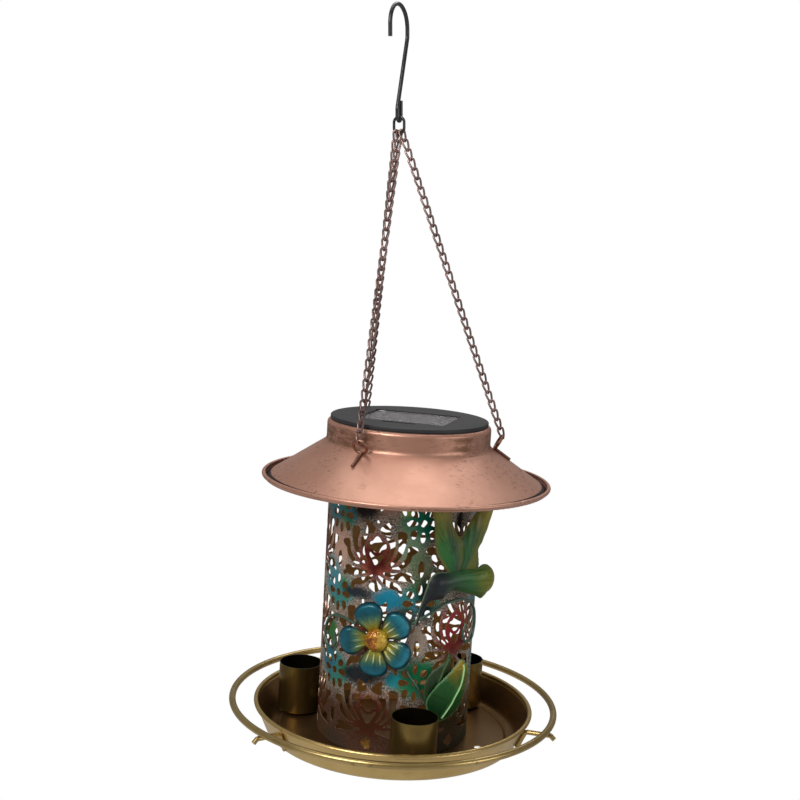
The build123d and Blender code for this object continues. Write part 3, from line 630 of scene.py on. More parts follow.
@dataclass(frozen=True)
class AirbrushedScreen:
    """Grey patinated steel, airbrushed red round the lotuses and teal round the blossoms."""

    name: str
    tile: Point2
    lotus_at: Point2
    spots: tuple[PaintSpot, ...]
    drift: float = 0.035
    lotus_rise: float = 0.02
    ground: Stops = ((0.41, (0.028, 0.024, 0.020)), (0.50, (0.20, 0.18, 0.145)), (0.59, (0.60, 0.55, 0.46)))
    rust: Colour = (0.50, 0.30, 0.23)
    teals: Stops = ((0.40, (0.025, 0.17, 0.23)), (0.50, (0.012, 0.20, 0.17)), (0.60, (0.018, 0.19, 0.055)))
    teal_grit: Colour = (0.16, 0.42, 0.40)
    reds: tuple[Colour, Colour] = ((0.14, 0.012, 0.010), (0.26, 0.045, 0.025))
    heart: Colour = (0.040, 0.004, 0.004)
    soots: tuple[Colour, Colour] = ((0.075, 0.026, 0.011), (0.035, 0.034, 0.014))

    def build(self) -> bpy.types.Material:
        """Returns the finished material."""
        kit = Finishing(self.name)
        plain = kit.uv()
        drift = kit.noise(plain, 9.0, 3.0)
        drift_up = kit.noise(kit.mapped(plain, location=(3.0, 1.0, 0.0)), 9.0, 3.0)
        x, y, _ = kit.split(plain)
        x = kit.plus(x, kit.span(drift, -self.drift, self.drift))
        y = kit.plus(y, kit.span(drift_up, -self.drift, self.drift))
        grit = kit.noise(plain, 78.0, 5.0, 0.75)
        cloud = kit.noise(plain, 14.0, 4.0)
        ground = kit.mix(kit.times(kit.step(cloud, 0.40, 0.62), 0.35), kit.ramp(grit, self.ground),
                         self.rust)
        green = kit.noise(kit.mapped(plain, location=(7.0, 2.0, 0.0)), 3.4, 2.0)
        teal = kit.mix(kit.step(grit, 0.45, 0.75), kit.ramp(green, self.teals), self.teal_grit)
        wide, tall = self.tile
        across = self.folded(kit, x, self.lotus_at[0], wide)
        up = self.folded(kit, y, self.lotus_at[1] + self.lotus_rise, tall)
        blossom = kit.spot(across, up, (wide / 2, tall / 2 + self.lotus_rise), (0.21, 0.19), 0.55)
        lotus = kit.spot(across, up, (0.0, 0.0), (0.26, 0.25), 0.36)
        heart = kit.spot(across, up, (0.0, 0.0), (0.13, 0.15), 0.35)
        red = kit.mix(kit.step(cloud, 0.35, 0.65), *self.reds)
        colour = kit.mix(kit.times(blossom, 0.93), ground, teal)
        colour = kit.mix(kit.times(lotus, 0.92), colour, red)
        colour = kit.mix(kit.times(heart, 0.75), colour, self.heart)
        soot = kit.mix(kit.step(x, 0.05, 0.45), *self.soots)
        colour = kit.mix(kit.times(kit.step(y, 0.52, 0.30), 0.88), colour, soot)
        for patch in self.spots:
            mask = kit.times(kit.spot(x, y, patch.at, patch.size, 0.35), patch.strength)
            light = tuple(min(1.0, 1.5 * part + 0.006) for part in patch.colour)
            colour = kit.mix(mask, colour, kit.mix(kit.span(grit, 0.0, 0.5), patch.colour, light))
        kit.bump(kit.plus(grit, kit.times(cloud, 0.8)), 0.00012, 0.45)
        rough = kit.span(grit, 0.34, 0.52)
        return kit.give(Base_Color=colour, Metallic=0.2, Roughness=rough, Specular_IOR_Level=0.06)

    @staticmethod
    def folded(kit: Finishing, value: Socket, start: float, pitch: float) -> Socket:
        """Returns how far a coordinate is from the nearest lotus on a repeating sheet.

        Args:
            kit: the material being built.
            value: the coordinate.
            start: where a lotus lies.
            pitch: the distance between lotuses.

        Returns:
            From 0 at a lotus to half the pitch midway.
        """
        positive = kit.plus(kit.minus(value, start), FOLD_TILES * pitch)
        return kit.sums("PINGPONG", positive, pitch / 2)


@dataclass(frozen=True)
class SheetInk:
    """Colours of one pressed ornament by its own map: U runs across, V from root to tip."""

    name: str
    along: Stops
    edge: Colour
    streak: Colour
    streaks: float = 40.0
    edge_from: float = 0.10
    # colour of the raised veins and ribs: a painted highlight
    vein: Colour | None = None
    roughness: float = 0.35
    dust: Colour = (0.02, 0.03, 0.02)
    depth: float = 0.0002
    across: Stops = ()
    across_share: float = 0.6
    smudges: float = 0.5
    metal: float = 0.3
    coat: float = 0.35

    def build(self) -> bpy.types.Material:
        """Returns the finished material."""
        kit = Finishing(self.name)
        sheet = kit.uv()
        wobble = kit.noise(kit.place(), 55.0, 4.0)
        u, v, _ = kit.split(sheet)
        run = kit.plus(v, kit.span(wobble, -0.14, 0.14))
        colour = kit.ramp(run, self.along)
        if self.across:
            side = kit.ramp(kit.plus(u, kit.span(wobble, -0.08, 0.08)), self.across)
            colour = kit.mix(self.across_share, colour, side)
        lines = kit.noise(kit.join(kit.times(u, self.streaks), kit.times(v, 2.2)), 1.0, 4.0, 0.6)
        colour = kit.mix(kit.times(kit.step(lines, 0.50, 0.66), 0.55), colour, self.streak)
        rim = kit.plus(kit.mark(MARGIN_MARK), kit.span(wobble, -0.06, 0.06))
        rim = kit.step(rim, self.edge_from * 2.2, self.edge_from * 0.4)
        colour = kit.mix(kit.times(rim, 0.85), colour, self.edge)
        smudge = kit.step(kit.noise(kit.place(), 95.0, 5.0, 0.7), 0.55, 0.72)
        colour = kit.mix(kit.times(smudge, self.smudges), colour, self.dust)
        # Painted highlight on the raised veins and ribs.
        if self.vein is not None:
            colour = kit.mix(kit.step(kit.mark(VEIN_MARK), 0.35, 0.8), colour, self.vein)
        kit.bump(kit.plus(lines, kit.noise(kit.place(), 900.0, 2.0)), self.depth, 0.5)
        rough = kit.span(wobble, self.roughness - 0.08, self.roughness + 0.1)
        return kit.give(Base_Color=colour, Metallic=self.metal, Roughness=rough, Specular_IOR_Level=0.25,
                        Coat_Weight=self.coat, Coat_Roughness=0.18)


# --------------------------------------------------------------------------------------
# Mesh work
# --------------------------------------------------------------------------------------
@dataclass(frozen=True)
class SheetPlane:
    """A plane that stands in front of the screen and faces outwards.

    A point is (right, up, out) in millimetres, as seen from outside.
    """

    radius: float
    turn: float
    height: float = 0.0

    def matrix(self) -> Matrix:
        """Returns the plane's place, from millimetres on the plane to metres in the frame."""
        turn = math.radians(self.turn)
        right = Vector((math.cos(turn), math.sin(turn), 0.0))
        out = Vector((math.sin(turn), -math.cos(turn), 0.0))
        at = out * self.radius + Vector((0.0, 0.0, self.height))
        made = Matrix((right, Vector((0.0, 0.0, 1.0)), out)).transposed().to_4x4()
        return Matrix.Scale(MM, 4) @ Matrix.Translation(at) @ made


class Workbench:
    """Shared ways to cut, press and place sheet metal."""

    @staticmethod
    def outlined(outlines: Sequence[Sequence[Point2]], fineness: int) -> bmesh.types.BMesh:
        """Fills flat outlines. An outline inside another is a hole, and the one round holes keeps its corners.

        Args:
            outlines: closed outlines in millimetres.
            fineness: pieces between two points.

        Returns:
            The filled sheet in its own plane.
        """
        curve = bpy.data.curves.new("outline", "CURVE")
        curve.dimensions = "2D"
        curve.fill_mode = "FRONT"
        curve.resolution_u = fineness
        for number, outline in enumerate(outlines):
            spline = curve.splines.new("BEZIER")
            spline.bezier_points.add(len(outline) - 1)
            spline.use_cyclic_u = True
            rounded = number > 0 or len(outlines) == 1
            for point, (x, y) in zip(spline.bezier_points, outline):
                point.co = (x, y, 0.0)
                point.handle_left_type = point.handle_right_type = "AUTO" if rounded else "VECTOR"
        carrier = bpy.data.objects.new("outline", curve)
        bpy.context.scene.collection.objects.link(carrier)
        bpy.context.view_layer.update()
        flat = bpy.data.meshes.new_from_object(carrier.evaluated_get(bpy.context.evaluated_depsgraph_get()))
        sheet = bmesh.new()
        sheet.from_mesh(flat)
        bpy.data.objects.remove(carrier)
        bpy.data.curves.remove(curve)
        bpy.data.meshes.remove(flat)
        bmesh.ops.remove_doubles(sheet, verts=sheet.verts[:], dist=WELD)
        bmesh.ops.recalc_face_normals(sheet, faces=sheet.faces[:])
        if sum(face.normal.z for face in sheet.faces) < 0:
            bmesh.ops.reverse_faces(sheet, faces=sheet.faces[:])
        return sheet

    @staticmethod
    def sliced(sheet: bmesh.types.BMesh, axis: Vector, pitch: float) -> None:
        """Cuts a flat sheet at even steps, so that it can be bent or pressed.

        Args:
            sheet: the sheet.
            axis: the direction of the steps.
            pitch: millimetres between cuts.
        """
        places = [vert.co.dot(axis) for vert in sheet.verts]
        low, high = min(places), max(places)
        count = int((high - low) / pitch)
        for step in range(1, count + 1):
            at = low + (high - low) * step / (count + 1)
            bmesh.ops.bisect_plane(sheet, geom=sheet.verts[:] + sheet.edges[:] + sheet.faces[:], dist=1e-5,
                                   plane_co=axis * at, plane_no=axis)

    @staticmethod
    def margins(sheet: bmesh.types.BMesh) -> np.ndarray:
        """Returns each point's distance from the sheet's edge."""
        edges = [edge for edge in sheet.edges if len(edge.link_faces) == 1]
        starts = np.array([edge.verts[0].co[:2] for edge in edges])
        ends = np.array([edge.verts[1].co[:2] for edge in edges])
        points = np.array([vert.co[:2] for vert in sheet.verts])
        runs = ends - starts
        lengths = np.maximum((runs * runs).sum(1), 1e-12)
        best = np.full(len(points), 1e9)
        for start, run, length in zip(starts, runs, lengths):
            share = np.clip(((points - start) @ run) / length, 0.0, 1.0)
            gap = points - (start + share[:, None] * run)
            best = np.minimum(best, np.hypot(gap[:, 0], gap[:, 1]))
        return best

    @staticmethod
    def finished(
        sheet: bmesh.types.BMesh,
        name: str,
        materials: Sequence[bpy.types.Material],
        body: Body,
        slot: str,
        replaces: Sequence[str],
        angle: float,
    ) -> bpy.types.Object:
        """Makes an object from a mesh whose place is already in it, and seats it on its body.

        Args:
            sheet: the mesh, in metres.
            name: the piece's name.
            materials: its materials, in slot order.
            body: the body it rides on.
            slot: the record's material slot; not used.
            replaces: the CAD nodes it stands for.
            angle: degrees over which an edge stays crisp.

        Returns:
            The piece.
        """
        mesh = bpy.data.meshes.new(name)
        sheet.to_mesh(mesh)
        sheet.free()
        mesh.shade_smooth()
        mesh.set_sharp_from_angle(angle=math.radians(angle))
        for material in materials:
            mesh.materials.append(material)
        piece = bpy.data.objects.new(name, mesh)
        bpy.context.scene.collection.objects.link(piece)
        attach(piece, body.value)
        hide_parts(*replaces)
        LOG.info("%s: %d faces", name, len(mesh.polygons))
        return piece


@dataclass
class PressedSheet:
    """A thin ornament cut from sheet and pressed into relief."""

    name: str
    plane: SheetPlane
    outline: Sequence[Point2]
    relief: Callable[[float, float, float], float]
    chart: Callable[[float, float], Point2]
    vein: Callable[[float, float], float] | None = None
    thickness: float = 0.8
    pitch: float = 1.3
    margin_scale: float = 10.0

    def build(self) -> bmesh.types.BMesh:
        """Returns the pressed sheet, in metres in the frame, with its map and its edge and vein marks."""
        sheet = Workbench.outlined([self.outline], 6)
        Workbench.sliced(sheet, ALONG_X, self.pitch)
        Workbench.sliced(sheet, ALONG_Y, self.pitch)
        bmesh.ops.triangulate(sheet, faces=[face for face in sheet.faces if len(face.verts) > 4])
        gaps = Workbench.margins(sheet)
        margin = sheet.verts.layers.float.new(MARGIN_MARK)
        vein = sheet.verts.layers.float.new(VEIN_MARK)
        chart = sheet.loops.layers.uv.new(SHEET_MAP)
        for face in sheet.faces:
            for loop in face.loops:
                loop[chart].uv = self.chart(loop.vert.co.x, loop.vert.co.y)
        for vert, gap in zip(sheet.verts, gaps):
            x, y = vert.co.x, vert.co.y
            vert[margin] = gap / self.margin_scale
            if self.vein is not None:
                vert[vein] = self.vein(x, y)
            vert.co.z = self.relief(x, y, gap)
        sheet.normal_update()
        bmesh.ops.solidify(sheet, geom=sheet.faces[:], thickness=self.thickness)
        bmesh.ops.recalc_face_normals(sheet, faces=sheet.faces[:])
        bmesh.ops.transform(sheet, matrix=self.plane.matrix(), verts=sheet.verts[:])
        return sheet


def mirrored(half: Sequence[Point2]) -> list[Point2]:
    """Returns a closed outline from its right half, which runs from the top of the axis to the bottom."""
    return list(half) + [(-x, y) for x, y in reversed(half) if abs(x) > 1e-6]


def flipped(outline: Sequence[Point2]) -> list[Point2]:
    """Returns an outline's mirror image about the vertical axis."""
    return [(-x, y) for x, y in reversed(outline)]


def oval(at: Point2, size: Point2, points: int = 8) -> list[Point2]:
    """Returns the points of an oval.

    Args:
        at: its centre.
        size: its half width and half height.
        points: how many.

    Returns:
        The outline.
    """
    turns = [2 * math.pi * step / points for step in range(points)]
    return [(at[0] + size[0] * math.cos(turn), at[1] + size[1] * math.sin(turn)) for turn in turns]


@dataclass
class FiligreeScreen:
    """The pierced cylinder: lotuses and blossoms cut through thin sheet and rolled, its two ends meeting at
    the back.
    """

    radius: float = 57.4
    sheet: float = 0.5
    foot: float = 2.45
    top: float = 212.0
    lotus_pitch: Point2 = (65.58, 58.7)
    lotus_first: Point2 = (-18.03, 28.6)
    lotus_columns: tuple[int, ...] = (-1, 0, 1, 2, 3)
    blossom_columns: tuple[float, ...] = (-1.5, -0.5, 0.5, 1.5, 2.5, 3.5)
    rows: int = 4
    lap_columns: float = 1.75
    slice_pitch: float = 4.0
    solid_band: float = 3.0
    bud: Sequence[Point2] = ((0, 18.1), (2.3, 16.4), (3.5, 14.6), (5.6, 14.0), (6.9, 12.2), (6.6, 9.8),
                             (4.8, 8.8), (3.4, 8.2), (2.2, 6.5), (0, 5.9))
    sepal: Sequence[Point2] = ((0, 3.4), (2.6, 4.2), (6.2, 6.4), (6.0, 4.9), (3.5, 0.6), (0, -3.6))
    tail: Sequence[Point2] = ((0, -13.6), (2.6, -15.8), (5.0, -19.2), (3.2, -21.0), (0, -22.8))
    side_slots: Sequence[Sequence[Point2]] = (
        ((9.4, 29.3), (6.4, 27.8), (3.4, 25.6), (1.7, 23.0), (2.4, 21.0), (4.4, 19.9), (7.2, 18.9),
         (9.6, 19.2), (9.5, 21.6), (9.0, 24.4), (9.9, 27.2)),
        ((6.6, 17.6), (9.4, 16.9), (12.6, 16.4), (13.2, 12.4), (12.5, 7.8), (10.8, 3.2), (7.6, -1.2),
         (6.3, -2.0), (7.0, -0.3), (9.0, 4.0), (9.9, 8.0), (9.5, 12.0), (8.0, 14.9)),
        ((14.8, 22.6), (18.0, 23.2), (21.2, 21.6), (21.4, 17.5), (20.2, 11.0), (17.8, 4.9), (13.8, -0.1),
         (9.6, -3.2), (8.8, -2.6), (12.2, 1.2), (14.2, 5.2), (15.6, 10.0), (15.5, 15.0), (14.6, 19.3)),
        ((23.2, 12.2), (26.0, 12.5), (30.0, 10.0), (28.4, 7.4), (26.0, 5.8), (25.0, 2.0), (22.6, -1.4),
         (19.0, -4.0), (13.2, -5.0), (11.6, -4.5), (15.8, -2.4), (19.4, 1.0), (21.8, 5.0), (22.4, 8.8)),
        ((5.4, -8.2), (9.4, -7.7), (14.0, -7.5), (20.0, -6.7), (24.4, -6.6), (26.3, -8.3), (25.8, -10.6),
         (28.4, -12.6), (27.9, -14.4), (25.0, -13.5), (21.0, -13.2), (16.0, -12.7), (10.4, -10.7)),
        ((2.0, -10.4), (4.4, -11.2), (8.0, -12.7), (12.0, -13.9), (16.0, -15.0), (18.4, -17.2),
         (19.9, -20.6), (19.3, -24.2), (17.8, -23.0), (16.2, -20.2), (13.4, -19.6), (10.2, -18.4),
         (6.2, -15.8), (3.6, -13.2)),
    )
    corner_petals: Sequence[Sequence[Point2]] = (
        ((4.2, 4.5), (7.2, 4.2), (9.5, 6.4), (8.7, 9.1), (6.0, 9.4), (4.3, 7.4)),
        ((5.0, -5.5), (7.7, -5.0), (9.2, -8.0), (8.5, -11.0), (6.4, -11.6), (4.8, -9.0)),
    )
    level_petal: Sequence[Point2] = ((4.1, 0.0), (7.0, 2.0), (10.0, 2.6), (12.0, 0.9), (12.0, -1.0),
                                     (10.0, -2.4), (7.0, -1.9))
    spots: tuple[PaintSpot, ...] = (
        PaintSpot((-0.12, 1.88), (0.14, 0.13), (0.36, 0.19, 0.14), 0.85),
        PaintSpot((-0.29, 1.84), (0.17, 0.14), (0.010, 0.007, 0.007), 0.97),
        PaintSpot((-0.52, 1.52), (0.16, 0.24), (0.55, 0.32, 0.24), 0.70),
        PaintSpot((-0.62, 1.80), (0.14, 0.16), (0.06, 0.24, 0.29), 0.85),
        PaintSpot((-0.60, 1.28), (0.16, 0.20), (0.05, 0.22, 0.27), 0.85),
        PaintSpot((-0.33, 1.205), (0.20, 0.075), (0.016, 0.022, 0.030), 0.95),
        PaintSpot((-0.08, 1.185), (0.16, 0.12), (0.010, 0.23, 0.35), 0.97),
        PaintSpot((0.03, 1.88), (0.09, 0.11), (0.34, 0.46, 0.045), 0.95),
        PaintSpot((0.15, 1.76), (0.15, 0.22), (0.006, 0.17, 0.10), 0.92),
        PaintSpot((0.06, 1.60), (0.14, 0.20), (0.16, 0.28, 0.16), 0.75),
        PaintSpot((0.15, 1.40), (0.13, 0.22), (0.07, 0.13, 0.05), 0.70),
        PaintSpot((0.235, 1.79), (0.04, 0.20), (0.003, 0.010, 0.02), 0.97),
        # painted shadow cast by the bird's right wing on the screen
        PaintSpot((0.45, 1.77), (0.05, 0.12), (0.006, 0.006, 0.008), 0.95),
        PaintSpot((0.20, 1.20), (0.10, 0.22), (0.006, 0.016, 0.014), 0.95),
        PaintSpot((0.05, 1.08), (0.12, 0.08), (0.03, 0.04, 0.03), 0.85),
        PaintSpot((-0.57, 0.86), (0.13, 0.13), (0.02, 0.14, 0.03), 0.90),
        PaintSpot((-0.60, 0.66), (0.16, 0.16), (0.02, 0.13, 0.18), 0.85),
        PaintSpot((-0.27, 0.60), (0.24, 0.11), (0.006, 0.012, 0.018), 0.95),
        PaintSpot((-0.01, 0.60), (0.09, 0.09), (0.015, 0.28, 0.33), 0.95),
        PaintSpot((0.20, 0.62), (0.22, 0.18), (0.010, 0.17, 0.055), 0.92),
        PaintSpot((0.15, 0.88), (0.09, 0.15), (0.42, 0.32, 0.25), 0.75),
        PaintSpot((0.475, 0.98), (0.24, 0.21), (0.28, 0.030, 0.030), 0.85),
        PaintSpot((0.62, 0.62), (0.18, 0.20), (0.30, 0.30, 0.24), 0.6),
        PaintSpot((-1.40, 0.30), (0.60, 0.30), (0.085, 0.032, 0.014), 0.85),
        PaintSpot((1.40, 0.30), (0.60, 0.30), (0.085, 0.032, 0.014), 0.85),
        PaintSpot((0.95, 1.20), (0.18, 0.22), (0.02, 0.20, 0.08), 0.6),
        PaintSpot((1.30, 1.60), (0.20, 0.14), (0.02, 0.24, 0.30), 0.6),
        PaintSpot((-1.20, 1.10), (0.20, 0.22), (0.02, 0.20, 0.08), 0.6),
        PaintSpot((-1.55, 1.75), (0.18, 0.12), (0.012, 0.012, 0.016), 0.7),
    )

    def lotus(self, x: float, z: float) -> list[list[Point2]]:
        """Returns the cut-outs of one lotus about a centre."""
        shapes = [mirrored(self.bud), mirrored(self.sepal), mirrored(self.tail),
                  oval((0, 28.6), (1.15, 1.15), 6)]
        for slot in self.side_slots:
            shapes += [list(slot), flipped(slot)]
        return [[(px + x, pz + z) for px, pz in shape] for shape in shapes]

    def blossom(self, x: float, z: float) -> list[list[Point2]]:
        """Returns the cut-outs of one blossom about a centre."""
        shapes = [oval((0, 0), (2.6, 2.6)), oval((0, 10.3), (1.9, 3.9)), oval((0, -10.3), (1.9, 3.9)),
                  list(self.level_petal), flipped(self.level_petal)]
        for petal in self.corner_petals:
            shapes += [list(petal), flipped(petal)]
        return [[(px + x, pz + z) for px, pz in shape] for shape in shapes]

    def cutouts(self) -> list[list[Point2]]:
        """Returns every cut-out that keeps clear of the sheet's top and bottom edges."""
        wide, tall = self.lotus_pitch
        found = []
        for column in self.lotus_columns:
            for row in range(self.rows):
                found += self.lotus(self.lotus_first[0] + column * wide, self.lotus_first[1] + row * tall)
        for column in self.blossom_columns:
            x = self.lotus_first[0] + column * wide
            for row in range(self.rows):
                z = self.lotus_first[1] + row * tall
                found.append(oval((x, z - 4.0), (2.2, 6.1)))
                found += self.blossom(x, z + tall / 2)
        low, high = self.foot + self.solid_band, self.top - self.solid_band
        return [shape for shape in found if all(low < z < high for _, z in shape)]

    def build(self) -> bpy.types.Object:
        """Cuts, rolls and dresses the screen."""
        around = 2 * math.pi * self.radius
        start = self.lotus_first[0] - self.lap_columns * self.lotus_pitch[0]
        border = [(start, self.foot), (start + around, self.foot), (start + around, self.top),
                  (start, self.top)]
        flat = Workbench.outlined([border, *self.cutouts()], 3)
        Workbench.sliced(flat, ALONG_X, self.slice_pitch)
        chart = flat.loops.layers.uv.new(SHEET_MAP)
        for face in flat.faces:
            for loop in face.loops:
                loop[chart].uv = (loop.vert.co.x / MAP_UNIT, loop.vert.co.y / MAP_UNIT)
        for vert in flat.verts:
            turn, z = vert.co.x / self.radius, vert.co.y
            vert.co = Vector((math.sin(turn) * self.radius, -math.cos(turn) * self.radius, z))
        bmesh.ops.remove_doubles(flat, verts=flat.verts[:], dist=WELD)
        flat.normal_update()
        bmesh.ops.solidify(flat, geom=flat.faces[:], thickness=self.sheet)
        flat.normal_update()
        for face in flat.faces:
            middle = face.calc_center_median()
            outward = face.normal.dot(Vector((middle.x, middle.y, 0.0)).normalized())
            face.material_index = 0 if outward > 0.6 else 1 if outward < -0.6 else 2
        bmesh.ops.scale(flat, vec=(MM, MM, MM), verts=flat.verts[:])
        paint = AirbrushedScreen("screen_airbrush", tuple(side / MAP_UNIT for side in self.lotus_pitch),
                                 tuple(side / MAP_UNIT for side in self.lotus_first), self.spots).build()
        inside = PlatedMetal("screen_inside", (0.56, 0.30, 0.085), (0.42, 0.21, 0.055), 0.5, 0.35,
                             700.0).build()
        rims = PlatedMetal("screen_cut_edge", (0.55, 0.40, 0.28), (0.33, 0.22, 0.13), 0.35, 0.7,
                           900.0).build()
        return Workbench.finished(flat, "filigree_sheet", (paint, inside, rims), Body.FEEDER,
                                  "painted_screen",
                                  ("filigree_screen",), CRISP_SCREEN)


@dataclass
class CurbChains:
    """Three chains of twisted curb links, laid link for link along the frame's chains."""

    nodes: tuple[str, ...] = ("chain_right", "chain_front", "chain_rear")
    wire: float = 0.82
    half_length: float = 4.35
    half_width: float = 2.1
    twist: float = 86.0
    wire_sides: int = 8
    bends: int = 8
    run_steps: int = 3
    link_turn: float = 35.0
    link_sway: float = 4.0

    def link(self) -> bmesh.types.BMesh:
        """Returns one twisted link along X, in millimetres, about its own centre."""
        made = bmesh.new()
        reach = self.half_length - self.half_width
        bmesh.ops.create_circle(made, cap_ends=False, radius=self.wire, segments=self.wire_sides)
        stand = Matrix.Translation((reach + self.half_width, 0.0, 0.0)) @ Matrix.Rotation(math.pi / 2, 4,
                                                                                          "X")
        bmesh.ops.transform(made, matrix=stand, verts=made.verts[:])
        turn = Matrix.Rotation(-math.pi / 2, 3, "Z")
        bmesh.ops.rotate(made, cent=(reach, 0, 0), matrix=turn, verts=made.verts[:])
        ring = made.edges[:]
        for way in (1, -1):
            bend = bmesh.ops.spin(made, geom=ring, cent=(way * reach, 0, 0), axis=(0, 0, 1), angle=math.pi,
                                  steps=self.bends)
            ring = [item for item in bend["geom_last"] if isinstance(item, bmesh.types.BMEdge)]
            for _ in range(self.run_steps):
                run = bmesh.ops.extrude_edge_only(made, edges=ring)["geom"]
                ends = [item for item in run if isinstance(item, bmesh.types.BMVert)]
                bmesh.ops.translate(made, vec=(-way * 2 * reach / self.run_steps, 0, 0), verts=ends)
                ring = [item for item in run if isinstance(item, bmesh.types.BMEdge)
                        and all(abs(vert.co.x - item.verts[0].co.x) < 1e-4 for vert in item.verts)]
        bmesh.ops.remove_doubles(made, verts=made.verts[:], dist=1e-3)
        for vert in made.verts:
            share = vert.co.x / (self.half_length + self.wire)
            vert.co = Matrix.Rotation(math.radians(-self.twist / 2 * share), 3, "X") @ vert.co
        bmesh.ops.recalc_face_normals(made, faces=made.faces[:])
        return made

    @staticmethod
    def places(node: bpy.types.Object) -> list[Vector]:
        """Returns the centre of each link of a chain in the frame, from bottom to top, in metres."""
        loose = bmesh.new()
        loose.from_mesh(node.data)
        bmesh.ops.remove_doubles(loose, verts=loose.verts[:], dist=1e-6)
        seen: set[bmesh.types.BMVert] = set()
        centres = []
        for vert in loose.verts:
            if vert in seen:
                continue
            queue, island = [vert], []
            seen.add(vert)
            while queue:
                at = queue.pop()
                island.append(at.co.copy())
                for edge in at.link_edges:
                    other = edge.other_vert(at)
                    if other not in seen:
                        seen.add(other)
                        queue.append(other)
            low = Vector(map(min, *island))
            high = Vector(map(max, *island))
            centres.append((low + high) / 2)
        loose.free()
        return sorted(centres, key=lambda centre: centre.z)

    def build(self) -> list[bpy.types.Object]:
        """Lays and dresses the three chains."""
        metal = PlatedMetal("chain_plating", (0.36, 0.235, 0.21), (0.20, 0.125, 0.11), 0.36, 0.8, 1500.0,
                            wear=(0.055, 0.03, 0.028), wear_amount=0.6).build()
        master = self.link()
        pattern = bpy.data.meshes.new("link")
        master.to_mesh(pattern)
        master.free()
        made = []
        for node in self.nodes:
            centres = self.places(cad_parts[node])
            chain = bmesh.new()
            for number, centre in enumerate(centres):
                before = centres[max(0, number - 1)]
                after = centres[min(len(centres) - 1, number + 1)]
                along = (after - before).normalized()
                side = along.cross(Vector((0.0, -1.0, 0.0))).normalized()
                out = along.cross(side)
                place = Matrix((along, side, out)).transposed().to_4x4()
                roll = math.radians(self.link_turn + self.link_sway * math.sin(number * 1.7))
                seat = Matrix.Translation(centre) @ place @ Matrix.Scale(MM, 4) @ Matrix.Rotation(roll, 4,
                                                                                                  "X")
                count = len(chain.verts)
                chain.from_mesh(pattern)
                chain.verts.ensure_lookup_table()
                bmesh.ops.transform(chain, matrix=seat, verts=chain.verts[count:])
            made.append(Workbench.finished(chain, node + "_links", (metal,), Body.FEEDER, "chain_metal",
                                           (node,),
                                           CRISP_LINK))
        bpy.data.meshes.remove(pattern)
        return made


